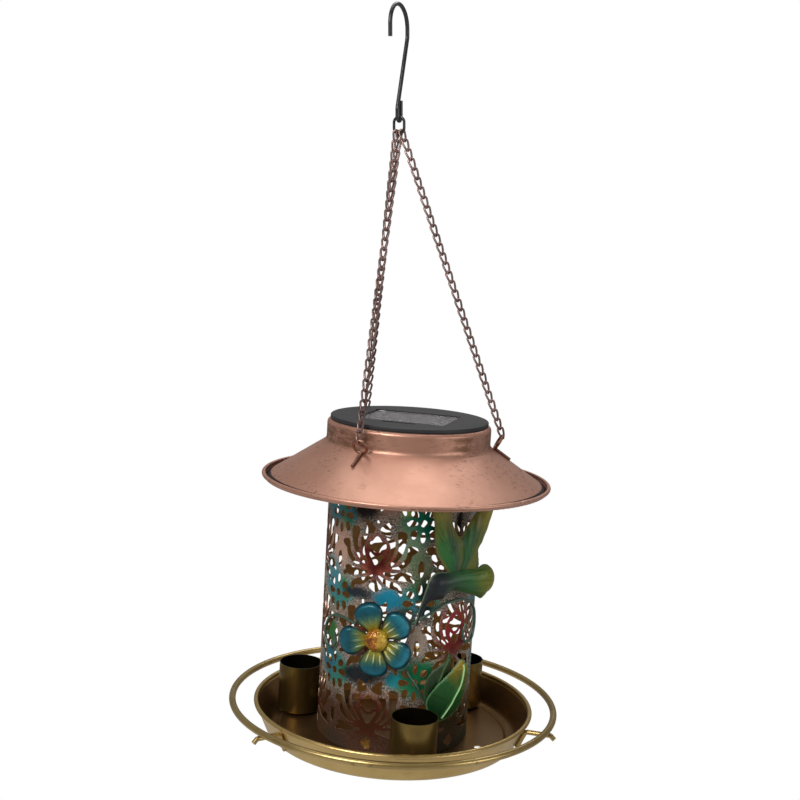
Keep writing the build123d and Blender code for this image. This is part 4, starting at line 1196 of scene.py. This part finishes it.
@dataclass
class EnamelFlower:
    """The five-petalled flower with its domed, stippled centre."""

    plane: SheetPlane = SheetPlane(66.0, -12.3, 91.7)
    petal_turns: tuple[float, ...] = (40.0, 111.0, 188.0, 266.0, 330.0)
    petal_paints: tuple[int, ...] = (1, 0, 0, 2, 1)
    petal: Sequence[Point2] = ((0.0, -3.1), (6.0, -4.3), (10.0, -6.6), (14.8, -9.6), (19.8, -10.7),
                               (24.4, -8.7), (27.0, -4.8), (27.7, 0.0), (27.0, 4.8), (24.4, 8.7),
                               (19.8, 10.7), (14.8, 9.6), (10.0, 6.6), (6.0, 4.3), (0.0, 3.1))
    reach: float = 27.4
    ribs: int = 5
    root_spread: float = 2.4
    tip_spread: float = 7.0
    cup: float = 3.4
    rib_height: float = 0.75
    rim_roll: float = 2.6
    dome_radius: float = 8.2
    grains: int = 90
    grain_reach: float = 0.085
    grain_height: float = 0.07
    golden_turn: float = 2.39996
    dome_pit: float = 0.22
    dome_flatness: float = 0.78
    dome_rise: float = 1.2

    def pressed_petal(self, number: int, turn: float) -> PressedSheet:
        """Returns one petal, from its root at the flower's middle to its round tip.

        Args:
            number: which petal it is.
            turn: degrees from the flower's right.

        Returns:
            The petal, ready to press.
        """
        cos, sin = math.cos(math.radians(turn)), math.sin(math.radians(turn))

        def local(x: float, y: float) -> Point2:
            """Returns how far along the petal a point lies, and how far across it in widths."""
            share, across = (x * cos + y * sin) / self.reach, -x * sin + y * cos
            return share, across / (self.root_spread + self.tip_spread * min(max(share, 0.0), 1.0))

        def rib(ribs_across: float) -> float:
            """Returns 1 on a rib's crest, falling to 0 between ribs."""
            return max(0.0, math.cos(ribs_across * math.pi * self.ribs / 2.0))

        def relief(x: float, y: float, gap: float) -> float:
            """Returns the height of the petal at a point."""
            share, ribs_across = local(x, y)
            share = min(max(share, 0.0), 1.0)
            fade = max(0.0, 1.0 - abs(share - 0.42) / 0.33)
            cup = self.cup * math.sin(math.pi * min(1.0, max(0.0, (share - 0.18) / 0.82)) * 0.72)
            roll = -self.rim_roll * max(0.0, 1.0 - gap / 3.2) ** 2 * min(1.0, share * 1.6)
            return 0.15 * number / 5 + cup + self.rib_height * rib(ribs_across) * fade + roll

        def chart(x: float, y: float) -> Point2:
            """Returns the petal's own map."""
            share, ribs_across = local(x, y)
            return 0.5 + ribs_across / 2, share

        def vein(x: float, y: float) -> float:
            """Returns 1 on a rib's crest and 0 off it."""
            share, ribs_across = local(x, y)
            share = min(max(share, 0.0), 1.0)
            return rib(ribs_across) ** 3 * max(0.0, 1.0 - abs(share - 0.48) / 0.26) * 1.2

        outline = [(x * cos - y * sin, x * sin + y * cos) for x, y in self.petal]
        return PressedSheet(f"petal_{number}", self.plane, outline, relief, chart, vein, thickness=0.7,
                            pitch=0.75)

    def dome(self) -> bmesh.types.BMesh:
        """Returns the stippled boss in the middle."""
        boss = bmesh.new()
        bmesh.ops.create_icosphere(boss, subdivisions=5, radius=1.0)
        everything = boss.verts[:] + boss.edges[:] + boss.faces[:]
        bmesh.ops.bisect_plane(boss, geom=everything, plane_co=(0, 0, -0.05), plane_no=(0, 0, 1),
                               clear_inner=True)
        bmesh.ops.holes_fill(boss, edges=[edge for edge in boss.edges if len(edge.link_faces) == 1])
        steps = np.arange(self.grains)
        away = np.sqrt(steps / self.grains)
        flat = np.stack((np.cos(self.golden_turn * steps) * away, np.sin(self.golden_turn * steps) * away),
                        1)
        for vert in boss.verts:
            near = float(np.hypot(*(flat - np.array([vert.co.x, vert.co.y])).T).min())
            lift = max(0.0, 1.0 - (near / self.grain_reach) ** 2)
            pit = self.dome_pit * math.exp(-((vert.co.x ** 2 + vert.co.y ** 2) / 0.10))
            vert.co *= 1.0 + self.grain_height * lift * (1.0 if vert.co.z > 0 else 0.0)
            vert.co.z = vert.co.z * self.dome_flatness - pit
        bmesh.ops.recalc_face_normals(boss, faces=boss.faces[:])
        size = Matrix.Translation((0, 0, self.dome_rise)) @ Matrix.Scale(self.dome_radius, 4)
        bmesh.ops.transform(boss, matrix=self.plane.matrix() @ size, verts=boss.verts[:])
        return boss

    def dome_paint(self) -> bpy.types.Material:
        """Returns the orange stipple of the boss, with a painted yellow highlight over its right side."""
        kit = Finishing("flower_boss_paint")
        place = kit.place()
        grain = kit.noise(place, 420.0, 3.0)
        centre = self.plane.matrix().translation
        across = kit.minus(kit.plus(kit.split(place)[0], kit.span(grain, -0.002, 0.002)), centre.x)
        # side is 1 on the right of the boss, where the painted yellow highlight lies.
        side = kit.step(across, -0.003, 0.005)
        stipple = ((0.30, (0.12, 0.028, 0.003)), (0.48, (0.42, 0.13, 0.006)), (0.66, (0.66, 0.32, 0.02)))
        colour = kit.mix(kit.times(side, 0.75), kit.ramp(grain, stipple), (0.72, 0.50, 0.06))
        kit.bump(grain, 0.0004, 0.6)
        return kit.give(Base_Color=colour, Metallic=0.35, Roughness=kit.span(grain, 0.25, 0.45),
                        Coat_Weight=0.4,
                        Coat_Roughness=0.15)

    def build(self) -> None:
        """Presses, joins and dresses the flower."""
        root = ((0.10, (0.42, 0.30, 0.012)), (0.40, (0.27, 0.25, 0.02)), (0.58, (0.05, 0.15, 0.09)))
        rim, streak, dust = (0.002, 0.020, 0.032), (0.010, 0.045, 0.045), (0.003, 0.02, 0.03)
        # The rib colours are painted highlights on the raised ribs, dimmer on the teal petals.
        rib, dim_rib_highlight = (0.60, 0.62, 0.40), (0.16, 0.22, 0.12)
        paints = []
        for name, middle, tip, streaks, edge_from, vein in (
            ("petal_teal", (0.005, 0.08, 0.11), (0.005, 0.12, 0.17), 16.0, 0.10, dim_rib_highlight),
            ("petal_cyan", (0.006, 0.13, 0.19), (0.030, 0.25, 0.32), 22.0, 0.12, rib),
            ("petal_ribbed", (0.005, 0.10, 0.14), (0.006, 0.14, 0.20), 16.0, 0.10, rib),
        ):
            paints.append(SheetInk(name, (*root, (0.72, middle), (0.95, tip)), rim, streak, streaks,
                                   edge_from, vein,
                                   0.34, dust, metal=0.2, coat=0.2).build())
        whole = bmesh.new()
        holder = bpy.data.meshes.new("petals")
        for number, (turn, paint) in enumerate(zip(self.petal_turns, self.petal_paints)):
            sheet = self.pressed_petal(number, turn).build()
            for face in sheet.faces:
                face.material_index = paint
            sheet.to_mesh(holder)
            sheet.free()
            whole.from_mesh(holder)
        bpy.data.meshes.remove(holder)
        Workbench.finished(whole, "enamel_petals", paints, Body.FEEDER, "petal_blue", ("flower_petals",),
                           CRISP_PRESSED)
        Workbench.finished(self.dome(), "enamel_boss", (self.dome_paint(),), Body.FEEDER, "petal_yellow",
                           ("flower_centre",), CRISP_BOSS)


@dataclass
class EnamelBird:
    """The hummingbird: a pressed body with its beak and tail, and a pair of raised wings in front of it."""

    plane: SheetPlane = SheetPlane(66.4, 33.0)
    wing_lift: float = 0.85
    body: Sequence[Point2] = ((-27.5, 105), (-27, 113), (-25, 120), (-22.5, 127), (-20.5, 133),
                              (-18.5, 138), (-15, 141.3), (-10, 142.6), (-5, 142.4), (0, 143), (8, 144),
                              (16, 144), (23.5, 143.2), (26, 144.6), (30, 144.8), (34, 142.5), (37, 139),
                              (38.6, 134), (37.4, 128), (35, 125), (33, 123.8), (30, 121), (27, 119.5),
                              (24, 121), (20, 122.8), (15, 124), (5, 127), (0, 127.2), (-6, 122.5),
                              (-12, 122), (-17, 121.5), (-21, 117.5), (-24.5, 111.5))
    wings: Sequence[Point2] = ((-18, 192), (-17.6, 176), (-16.5, 165), (-13.5, 155), (-10, 150),
                               (-5, 143.5), (0, 139), (8, 136), (16, 138), (22, 142), (23, 144),
                               (22.3, 150), (21.6, 156), (22.5, 158.5), (24.5, 161.5), (26.3, 166),
                               (28.5, 171), (30.2, 177), (31.7, 182), (32.5, 192), (22, 192), (19, 186),
                               (14.5, 180), (9, 173), (4.5, 167.5), (1, 171.5), (-2.5, 178), (-4, 186),
                               (-4.5, 192))
    body_along: Stops = ((0.05, (0.010, 0.012, 0.015)), (0.24, (0.018, 0.022, 0.026)),
                         (0.40, (0.026, 0.075, 0.035)), (0.64, (0.034, 0.130, 0.034)),
                         (0.82, (0.14, 0.17, 0.020)), (0.96, (0.30, 0.25, 0.03)))
    wing_along: Stops = ((0.12, (0.030, 0.085, 0.035)), (0.42, (0.034, 0.125, 0.036)),
                         (0.66, (0.060, 0.150, 0.040)), (0.80, (0.22, 0.20, 0.03)),
                         (0.93, (0.40, 0.30, 0.04)))
    wing_across: Stops = ((0.08, (0.026, 0.20, 0.038)), (0.26, (0.075, 0.10, 0.08)),
                          (0.42, (0.28, 0.22, 0.04)), (0.50, (0.012, 0.03, 0.015)),
                          (0.57, (0.03, 0.16, 0.035)), (0.70, (0.08, 0.11, 0.07)),
                          (0.84, (0.34, 0.26, 0.035)))
    body_height: float = 5.2
    body_edge: float = 8.5
    wing_height: float = 3.6
    wing_edge: float = 9.0
    map_from: Point2 = (-26.0, 100.0)
    map_size: Point2 = (66.0, 45.0)
    fan_centre: Point2 = (7.0, 127.0)
    quills: float = 62.0
    quill_height: float = 0.45
    wing_foot: float = 139.0
    wing_length: float = 66.0

    def build(self) -> None:
        """Presses and dresses the bird."""
        def fan(x: float, y: float) -> Point2:
            """Returns the turn about the wings' fan and the distance from its centre."""
            across, up = x - self.fan_centre[0], y - self.fan_centre[1]
            return math.atan2(across, up), math.hypot(across, up)

        def body_relief(x: float, y: float, gap: float) -> float:
            """Returns the height of the body at a point."""
            dome = self.body_height * (1.0 - (1.0 - min(1.0, gap / self.body_edge)) ** 2)
            feathers = 0.10 * math.sin(x * 2.6 + math.sin(y * 1.7) * 1.6) * min(1.0, gap / 3.0)
            return dome + feathers

        def wing_relief(x: float, y: float, gap: float) -> float:
            """Returns the height of the wings at a point."""
            turn, away = fan(x, y)
            split = min(1.0, abs(turn + 0.03) / 0.10)
            quill = 0.5 + 0.5 * math.cos(turn * self.quills)
            quill *= self.quill_height * min(1.0, max(0.0, (away - 12.0) / 14.0))
            dome = self.wing_height * (1.0 - (1.0 - min(1.0, gap / self.wing_edge)) ** 2)
            rise = min(1.0, max(0.0, (y - self.wing_foot) / 12.0))
            return (dome * (0.75 + 0.25 * split) + quill) * rise - 0.5 * (1.0 - rise)

        def body_chart(x: float, y: float) -> Point2:
            """Returns the body's own map, from head to tail."""
            return (y - self.map_from[1]) / self.map_size[1], (x - self.map_from[0]) / self.map_size[0]

        def wing_chart(x: float, y: float) -> Point2:
            """Returns the wings' own map, from shoulder to tips."""
            turn, away = fan(x, y)
            return 0.5 + turn, away / self.wing_length

        body_paint = SheetInk("bird_body_paint", self.body_along, (0.12, 0.17, 0.10), (0.010, 0.030, 0.014),
                              26.0,
                              0.035, None, 0.42, (0.008, 0.016, 0.010), metal=0.1, coat=0.08).build()
        wing_paint = SheetInk("bird_wing_paint", self.wing_along, (0.16, 0.13, 0.02), (0.008, 0.016, 0.012),
                              52.0,
                              0.05, None, 0.42, (0.010, 0.014, 0.010), across=self.wing_across,
                              across_share=0.42,
                              metal=0.1, coat=0.08).build()
        front = SheetPlane(self.plane.radius + self.wing_lift, self.plane.turn)
        body = PressedSheet("bird", self.plane, self.body, body_relief, body_chart, pitch=1.2,
                            margin_scale=14.0)
        wings = PressedSheet("wings", front, self.wings, wing_relief, wing_chart, pitch=1.2,
                             margin_scale=20.0)
        for sheet, name, paint, node in ((body, "enamel_bird", body_paint, "bird_body"),
                                         (wings, "enamel_wings", wing_paint, "bird_wings")):
            Workbench.finished(sheet.build(), name, (paint,), Body.FEEDER, "bird_green", (node,),
                               CRISP_PRESSED)


@dataclass
class EnamelLeaf:
    """One pressed leaf with a raised midrib and side veins, the veins carrying a painted highlight."""

    name: str
    node: str
    plane: SheetPlane
    outline: Sequence[Point2]
    midrib: Sequence[Point2]
    along: Stops
    # colour of the painted highlight on the raised veins
    vein_highlight: Colour
    edge: Colour
    fold: float = 0.22
    arch: float = 3.0
    branch_pitch: float = 7.5
    vein_height: float = 0.9
    map_width: float = 26.0

    def build(self) -> None:
        """Presses and dresses the leaf."""
        stations = [Vector(point) for point in self.midrib]
        lengths = [(after - before).length for before, after in zip(stations, stations[1:])]
        length = sum(lengths)

        def local(x: float, y: float) -> Point2:
            """Returns how far along the midrib, and across from it, a point lies."""
            best, passed = (1e9, 0.0, 0.0), 0.0
            for before, after, run in zip(stations, stations[1:], lengths):
                way = (after - before) / run
                off = Vector((x, y)) - before
                share = min(max(off.dot(way), 0.0), run)
                gap = (off - way * share).length
                if gap < best[0]:
                    best = (gap, (passed + share) / length,
                            math.copysign(gap, off.dot(Vector((way.y, -way.x)))))
                passed += run
            return best[1], best[2]

        def vein(x: float, y: float) -> float:
            """Returns 1 on a vein and 0 off it."""
            along, across = local(x, y)
            main = math.exp(-(across / 1.0) ** 2) * (1.15 if 0.02 < along < 0.95 else 0.0)
            ray = (along * length - abs(across) * 0.9) / self.branch_pitch
            off = (ray - round(ray)) * self.branch_pitch
            branch = math.exp(-(off / 0.5) ** 2) * (0.5 if 0.1 < along < 0.9 else 0.0)
            return max(main, branch * 0.75)

        def relief(x: float, y: float, gap: float) -> float:
            """Returns the height of the leaf at a point."""
            along, across = local(x, y)
            fold = -self.fold * abs(across) + self.arch * math.sin(math.pi * min(1.0,
                                                                                 max(0.0, along)) * 0.9)
            return fold + self.vein_height * vein(x, y) - 0.5 * max(0.0, 1.0 - gap / 1.6)

        def chart(x: float, y: float) -> Point2:
            """Returns the leaf's own map."""
            along, across = local(x, y)
            return 0.5 + (across + along * 12.0) / self.map_width, along

        ink = SheetInk(self.name + "_paint", self.along, self.edge,
                       tuple(0.5 * c for c in self.along[1][1]), 12.0,
                       0.05, self.vein_highlight, 0.34, (0.004, 0.010, 0.004), metal=0.1, coat=0.15).build()
        sheet = PressedSheet(self.name, self.plane, self.outline, relief, chart, vein, pitch=0.8)
        Workbench.finished(sheet.build(), self.name, (ink,), Body.FEEDER, "leaf_green", (self.node,),
                           CRISP_PRESSED)


@dataclass
class Dressing:
    """Gives every part that keeps its own shape its finish."""

    @staticmethod
    def cups() -> list[tuple[PlatedMetal, tuple[str, ...]]]:
        """Returns a brass for each cup, with painted shade inside it; the left and rear cups get darker copies
        of it as painted shade.
        """
        made = []
        # share darkens the brass of the left and rear cups: painted shade on the same brass as the front cup.
        for name, share in (("cup_front", 1.0), ("cup_left", 0.55), ("cup_rear", 0.6)):
            low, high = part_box(name)
            middle = ((low.x + high.x) / 2, (low.y + high.y) / 2)
            # painted shade inside the cup
            well = PaintedShadeWell(middle, (high.x - low.x) / 2 - CUP_WALL, (0.035, 0.024, 0.010))
            tone, deep = (tuple(share * part for part in colour) for colour in CUP_BRASS)
            made.append((PlatedMetal(name + "_brass", tone, deep, 0.30, 0.92, 1400.0,
                                     wear=(0.06, 0.035, 0.012),
                                     wear_amount=0.15, well=well), (name,)))
        return made

    def build(self) -> None:
        """Makes the finishes and assigns them."""
        # The gutter ring on the roof copper is a painted shadow inside its upturned lip.
        copper = PlatedMetal("roof_copper", (0.66, 0.355, 0.255), (0.57, 0.295, 0.21), 0.40, 0.70, 1400.0,
                             streaks=0.6, wear=(0.13, 0.055, 0.04), wear_amount=0.06, specks=0.6,
                             collar=Collar(0.2250, 0.2372, (0.20, 0.095, 0.045)),
                             gutter_shade=(0.1012, 0.1054, (0.025, 0.012, 0.010)))
        brass = PlatedMetal("antique_brass", (0.36, 0.26, 0.095), (0.26, 0.18, 0.065), 0.30, 0.92, 1400.0,
                            wear=(0.10, 0.06, 0.02), wear_amount=0.15)
        brass_wire = PlatedMetal("brass_wire", (0.58, 0.42, 0.17), (0.40, 0.28, 0.105), 0.32, 0.92, 1400.0,
                                 wear=(0.06, 0.04, 0.02), wear_amount=0.7)
        # The tray's inner floor and walls, where they face up, get painted shade.
        tray = PlatedMetal("tray_brass", (0.70, 0.50, 0.20), (0.58, 0.40, 0.15), 0.32, 0.9, 1400.0,
                           wear=(0.18, 0.10, 0.035), wear_amount=0.2,
                           well=PaintedShadeWell(AXIS, 0.1030, (0.24, 0.135, 0.055), True))
        zinc = PlatedMetal("zinc_plate", (0.58, 0.57, 0.55), (0.43, 0.42, 0.40), 0.33, 0.95, 1200.0)
        anchor = PlatedMetal("anchor_wire", (0.40, 0.20, 0.14), (0.20, 0.09, 0.06), 0.36, 0.85, 1400.0,
                             wear=(0.05, 0.022, 0.016), wear_amount=0.7)
        contact = PlatedMetal("contact_nickel", (0.66, 0.64, 0.60), (0.52, 0.50, 0.46), 0.25, 1.0, 1600.0)
        wire = WireEnamel("black_enamel", (0.012, 0.012, 0.013), (0.10, 0.095, 0.09), 0.28, 0.35)
        vine = WireEnamel("vine_enamel", (0.030, 0.10, 0.065), (0.15, 0.21, 0.14), 0.30, 0.55)
        plastic = MouldedPlastic("lid_plastic", (0.020, 0.019, 0.021), (0.05, 0.048, 0.052), 0.46, 1500.0,
                                 0.35)
        rubber = MouldedPlastic("gasket_rubber", (0.014, 0.014, 0.014), (0.04, 0.04, 0.04), 0.7, 900.0)
        wrap = MouldedPlastic("cell_sleeve", (0.03, 0.16, 0.05), (0.06, 0.22, 0.08), 0.28, 300.0)
        clear_led = ClearCast("led_lens", (0.97, 0.97, 0.94), 0.05)
        cover = ClearCast("panel_resin", (0.95, 0.93, 0.95), 0.22)
        low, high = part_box("solar_cell")
        cells = SolarCells("solar_cells", ((low.x + high.x) / 2, (low.y + high.y) / 2), -14.5)
        board = CircuitLacquer("board_lacquer")
        groups = (
            (copper, ("roof_shell",)),
            (anchor, ("roof_anchor_front", "roof_anchor_rear", "roof_anchor_right", "roof_clips")),
            (tray, ("tray_dish",)),
            (brass, ("cup_rivets", "screen_tabs")),
            (brass_wire, ("perch_ring", "perch_bracket_left", "perch_bracket_rear", "perch_bracket_right")),
            (zinc, ("clip_nuts", "clip_screws", "tab_nuts", "tab_screws", "flange_screws", "board_screws",
                    "bird_posts", "flower_post", "leaf_posts")),
            (wire, ("hanger_hook", "gather_ring")),
            (vine, ("vine_left", "vine_right", "flower_stem")),
            (plastic, ("solar_lid", "light_housing", "battery_door", "switch_body", "switch_knob")),
            (rubber, ("lid_gasket",)),
            (cells, ("solar_cell",)),
            (cover, ("cell_cover",)),
            (clear_led, ("led",)),
            (board, ("circuit_board",)),
            (wrap, ("battery",)),
            (contact, ("battery_contacts",)),
        )
        for finish, nodes in (*groups, *self.cups()):
            material = finish.build()
            for name in nodes:
                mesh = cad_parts[name].data
                mesh.materials.clear()
                mesh.materials.append(material)
                LOG.info("%s dressed in %s", name, material.name)


@dataclass
class Studio:
    """Pale floor and backdrop, soft lights and the camera."""

    camera_at: Point3 = (0.0, -0.92597, 0.37542)
    yaw: float = -0.0087329
    pitch: float = 0.1287407
    roll: float = 0.0584213
    focal: float = 1253.98
    picture: float = 800.0
    sensor: float = 36.0
    floor_drop: float = 0.55
    floor_half: float = 6.0
    glow: float = 0.24
    lights: tuple[tuple[str, Point3, float, float, Colour], ...] = (
        ("key", (-1.05, -1.65, 1.5), 0.9, 34.0, (1.0, 0.985, 0.96)),
        ("fill", (1.7, -1.0, 0.6), 1.0, 8.0, (0.97, 0.985, 1.0)),
        ("top", (-0.1, 0.4, 1.9), 1.3, 10.0, (1.0, 1.0, 1.0)),
        ("rear", (0.5, 1.3, 2.0), 0.9, 9.0, (1.0, 1.0, 1.0)),
    )
    aim: Point3 = (0.0, 0.0, 0.2)

    def camera(self) -> None:
        """Sets the camera at the viewing angle."""
        ahead = Vector((math.sin(self.yaw) * math.cos(self.pitch),
                        math.cos(self.yaw) * math.cos(self.pitch),
                        -math.sin(self.pitch)))
        level = Vector((math.cos(self.yaw), -math.sin(self.yaw), 0.0))
        upright = level.cross(ahead)
        right = math.cos(self.roll) * level + math.sin(self.roll) * upright
        up = -math.sin(self.roll) * level + math.cos(self.roll) * upright
        data = bpy.data.cameras.new("camera")
        data.sensor_width = self.sensor
        data.lens = self.focal / self.picture * self.sensor
        data.clip_start, data.clip_end = 0.02, 60.0
        camera = bpy.data.objects.new("camera", data)
        camera.matrix_world = Matrix.Translation(self.camera_at) @ Matrix((right, up,
                                                                           -ahead)).transposed().to_4x4()
        bpy.context.scene.collection.objects.link(camera)
        bpy.context.scene.camera = camera

    def light(self, name: str, at: Point3, size: float, watts: float, tint: Colour) -> None:
        """Adds one soft box that faces the feeder.

        Args:
            name: the light's name.
            at: where it stands.
            size: its side.
            watts: its strength.
            tint: its colour.
        """
        data = bpy.data.lights.new(name, "AREA")
        data.shape = "RECTANGLE"
        data.size = data.size_y = size
        data.energy = watts
        data.color = tint
        lamp = bpy.data.objects.new(name, data)
        lamp.location = at
        lamp.rotation_euler = (Vector(self.aim) - Vector(at)).to_track_quat("-Z", "Y").to_euler()
        bpy.context.scene.collection.objects.link(lamp)

    def floor(self) -> None:
        """Lays a pale floor far below the hanging feeder."""
        sheet = bmesh.new()
        bmesh.ops.create_grid(sheet, x_segments=8, y_segments=8, size=self.floor_half)
        bmesh.ops.translate(sheet, vec=(0.0, 0.0, -self.floor_drop), verts=sheet.verts[:])
        mesh = bpy.data.meshes.new("floor")
        sheet.to_mesh(mesh)
        sheet.free()
        floor = bpy.data.objects.new("floor", mesh)
        kit = Finishing("pale_floor")
        cloud = kit.noise(kit.place(), 3.0, 3.0)
        seen = kit.node("LightPath").outputs["Is Camera Ray"]
        paper = kit.mix(cloud, (0.62, 0.62, 0.62), (0.68, 0.68, 0.68))
        colour = kit.mix(seen, paper, (0.0, 0.0, 0.0))
        mesh.materials.append(kit.give(Base_Color=colour, Roughness=0.9, Specular_IOR_Level=0.0,
                                       Emission_Color=(1.0, 1.0, 1.0), Emission_Strength=seen))
        bpy.context.scene.collection.objects.link(floor)

    def world(self) -> None:
        """Surrounds the studio with white paper, dimmer as a light than it looks."""
        world = bpy.data.worlds.new("studio")
        world.use_nodes = True
        tree = world.node_tree
        paper = tree.nodes["Background"]
        paper.inputs[0].default_value = (1.0, 1.0, 1.0, 1.0)
        paper.inputs[1].default_value = 1.0
        glow = tree.nodes.new("ShaderNodeBackground")
        glow.inputs[0].default_value = (1.0, 1.0, 1.0, 1.0)
        glow.inputs[1].default_value = self.glow
        path = tree.nodes.new("ShaderNodeLightPath")
        blend = tree.nodes.new("ShaderNodeMixShader")
        tree.links.new(path.outputs["Is Camera Ray"], blend.inputs[0])
        tree.links.new(glow.outputs[0], blend.inputs[1])
        tree.links.new(paper.outputs[0], blend.inputs[2])
        tree.links.new(blend.outputs[0], tree.nodes["World Output"].inputs[0])
        bpy.context.scene.world = world

    def build(self) -> None:
        """Sets up the studio."""
        self.camera()
        self.floor()
        self.world()
        for name, at, size, watts, tint in self.lights:
            self.light(name, at, size, watts, tint)
        bpy.context.scene.view_settings.view_transform = "Standard"


def main() -> None:
    """Builds the pieces in order."""
    logging.basicConfig(level=logging.INFO, format="%(name)s %(message)s")
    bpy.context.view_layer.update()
    Dressing().build()
    FiligreeScreen().build()
    CurbChains().build()
    EnamelFlower().build()
    EnamelBird().build()
    # After each leaf's colour stops come the painted highlight on its veins and its edge colour.
    EnamelLeaf("enamel_leaf_back", "leaf_back", SheetPlane(59.9, 42.0),
               ((-16, 38), (-24, 52), (-22, 62), (-17.5, 67.5), (-11, 70.3), (-5, 72.8), (-0.5, 77.5),
                (1, 70), (-2, 60), (-8, 48)), ((-13, 39), (-13, 54), (-7, 67), (-0.8, 76)),
               ((0.05, (0.010, 0.035, 0.012)), (0.5, (0.022, 0.055, 0.018)), (0.9, (0.05, 0.075, 0.015))),
               (0.07, 0.14, 0.05), (0.05, 0.10, 0.04), 0.04, 0.4).build()
    EnamelLeaf("enamel_leaf_front", "leaf_front", SheetPlane(62.4, 42.0),
               ((-9.5, 29.5), (-17, 35), (-21.5, 41), (-22.3, 46), (-20.5, 50.5), (-17, 55), (-12, 59),
                (-5, 63.5), (0, 66.5), (4, 69.5), (8.5, 72.7), (12.5, 69.5), (15.5, 65), (16, 60), (14, 55),
                (11.5, 45), (8, 37), (2, 31.5)), ((-9, 30.5), (-1, 41.5), (1, 45.5), (6.5, 54), (8, 58),
                                                  (10, 66), (9.0, 71.5)),
               ((0.05, (0.006, 0.045, 0.012)), (0.52, (0.018, 0.115, 0.020)), (0.74, (0.13, 0.14, 0.012)),
                (0.92, (0.32, 0.21, 0.008))), (0.42, 0.80, 0.34), (0.12, 0.28, 0.11), 0.12).build()
    Studio().build()
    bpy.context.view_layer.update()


if __name__ == "__main__":
    main()
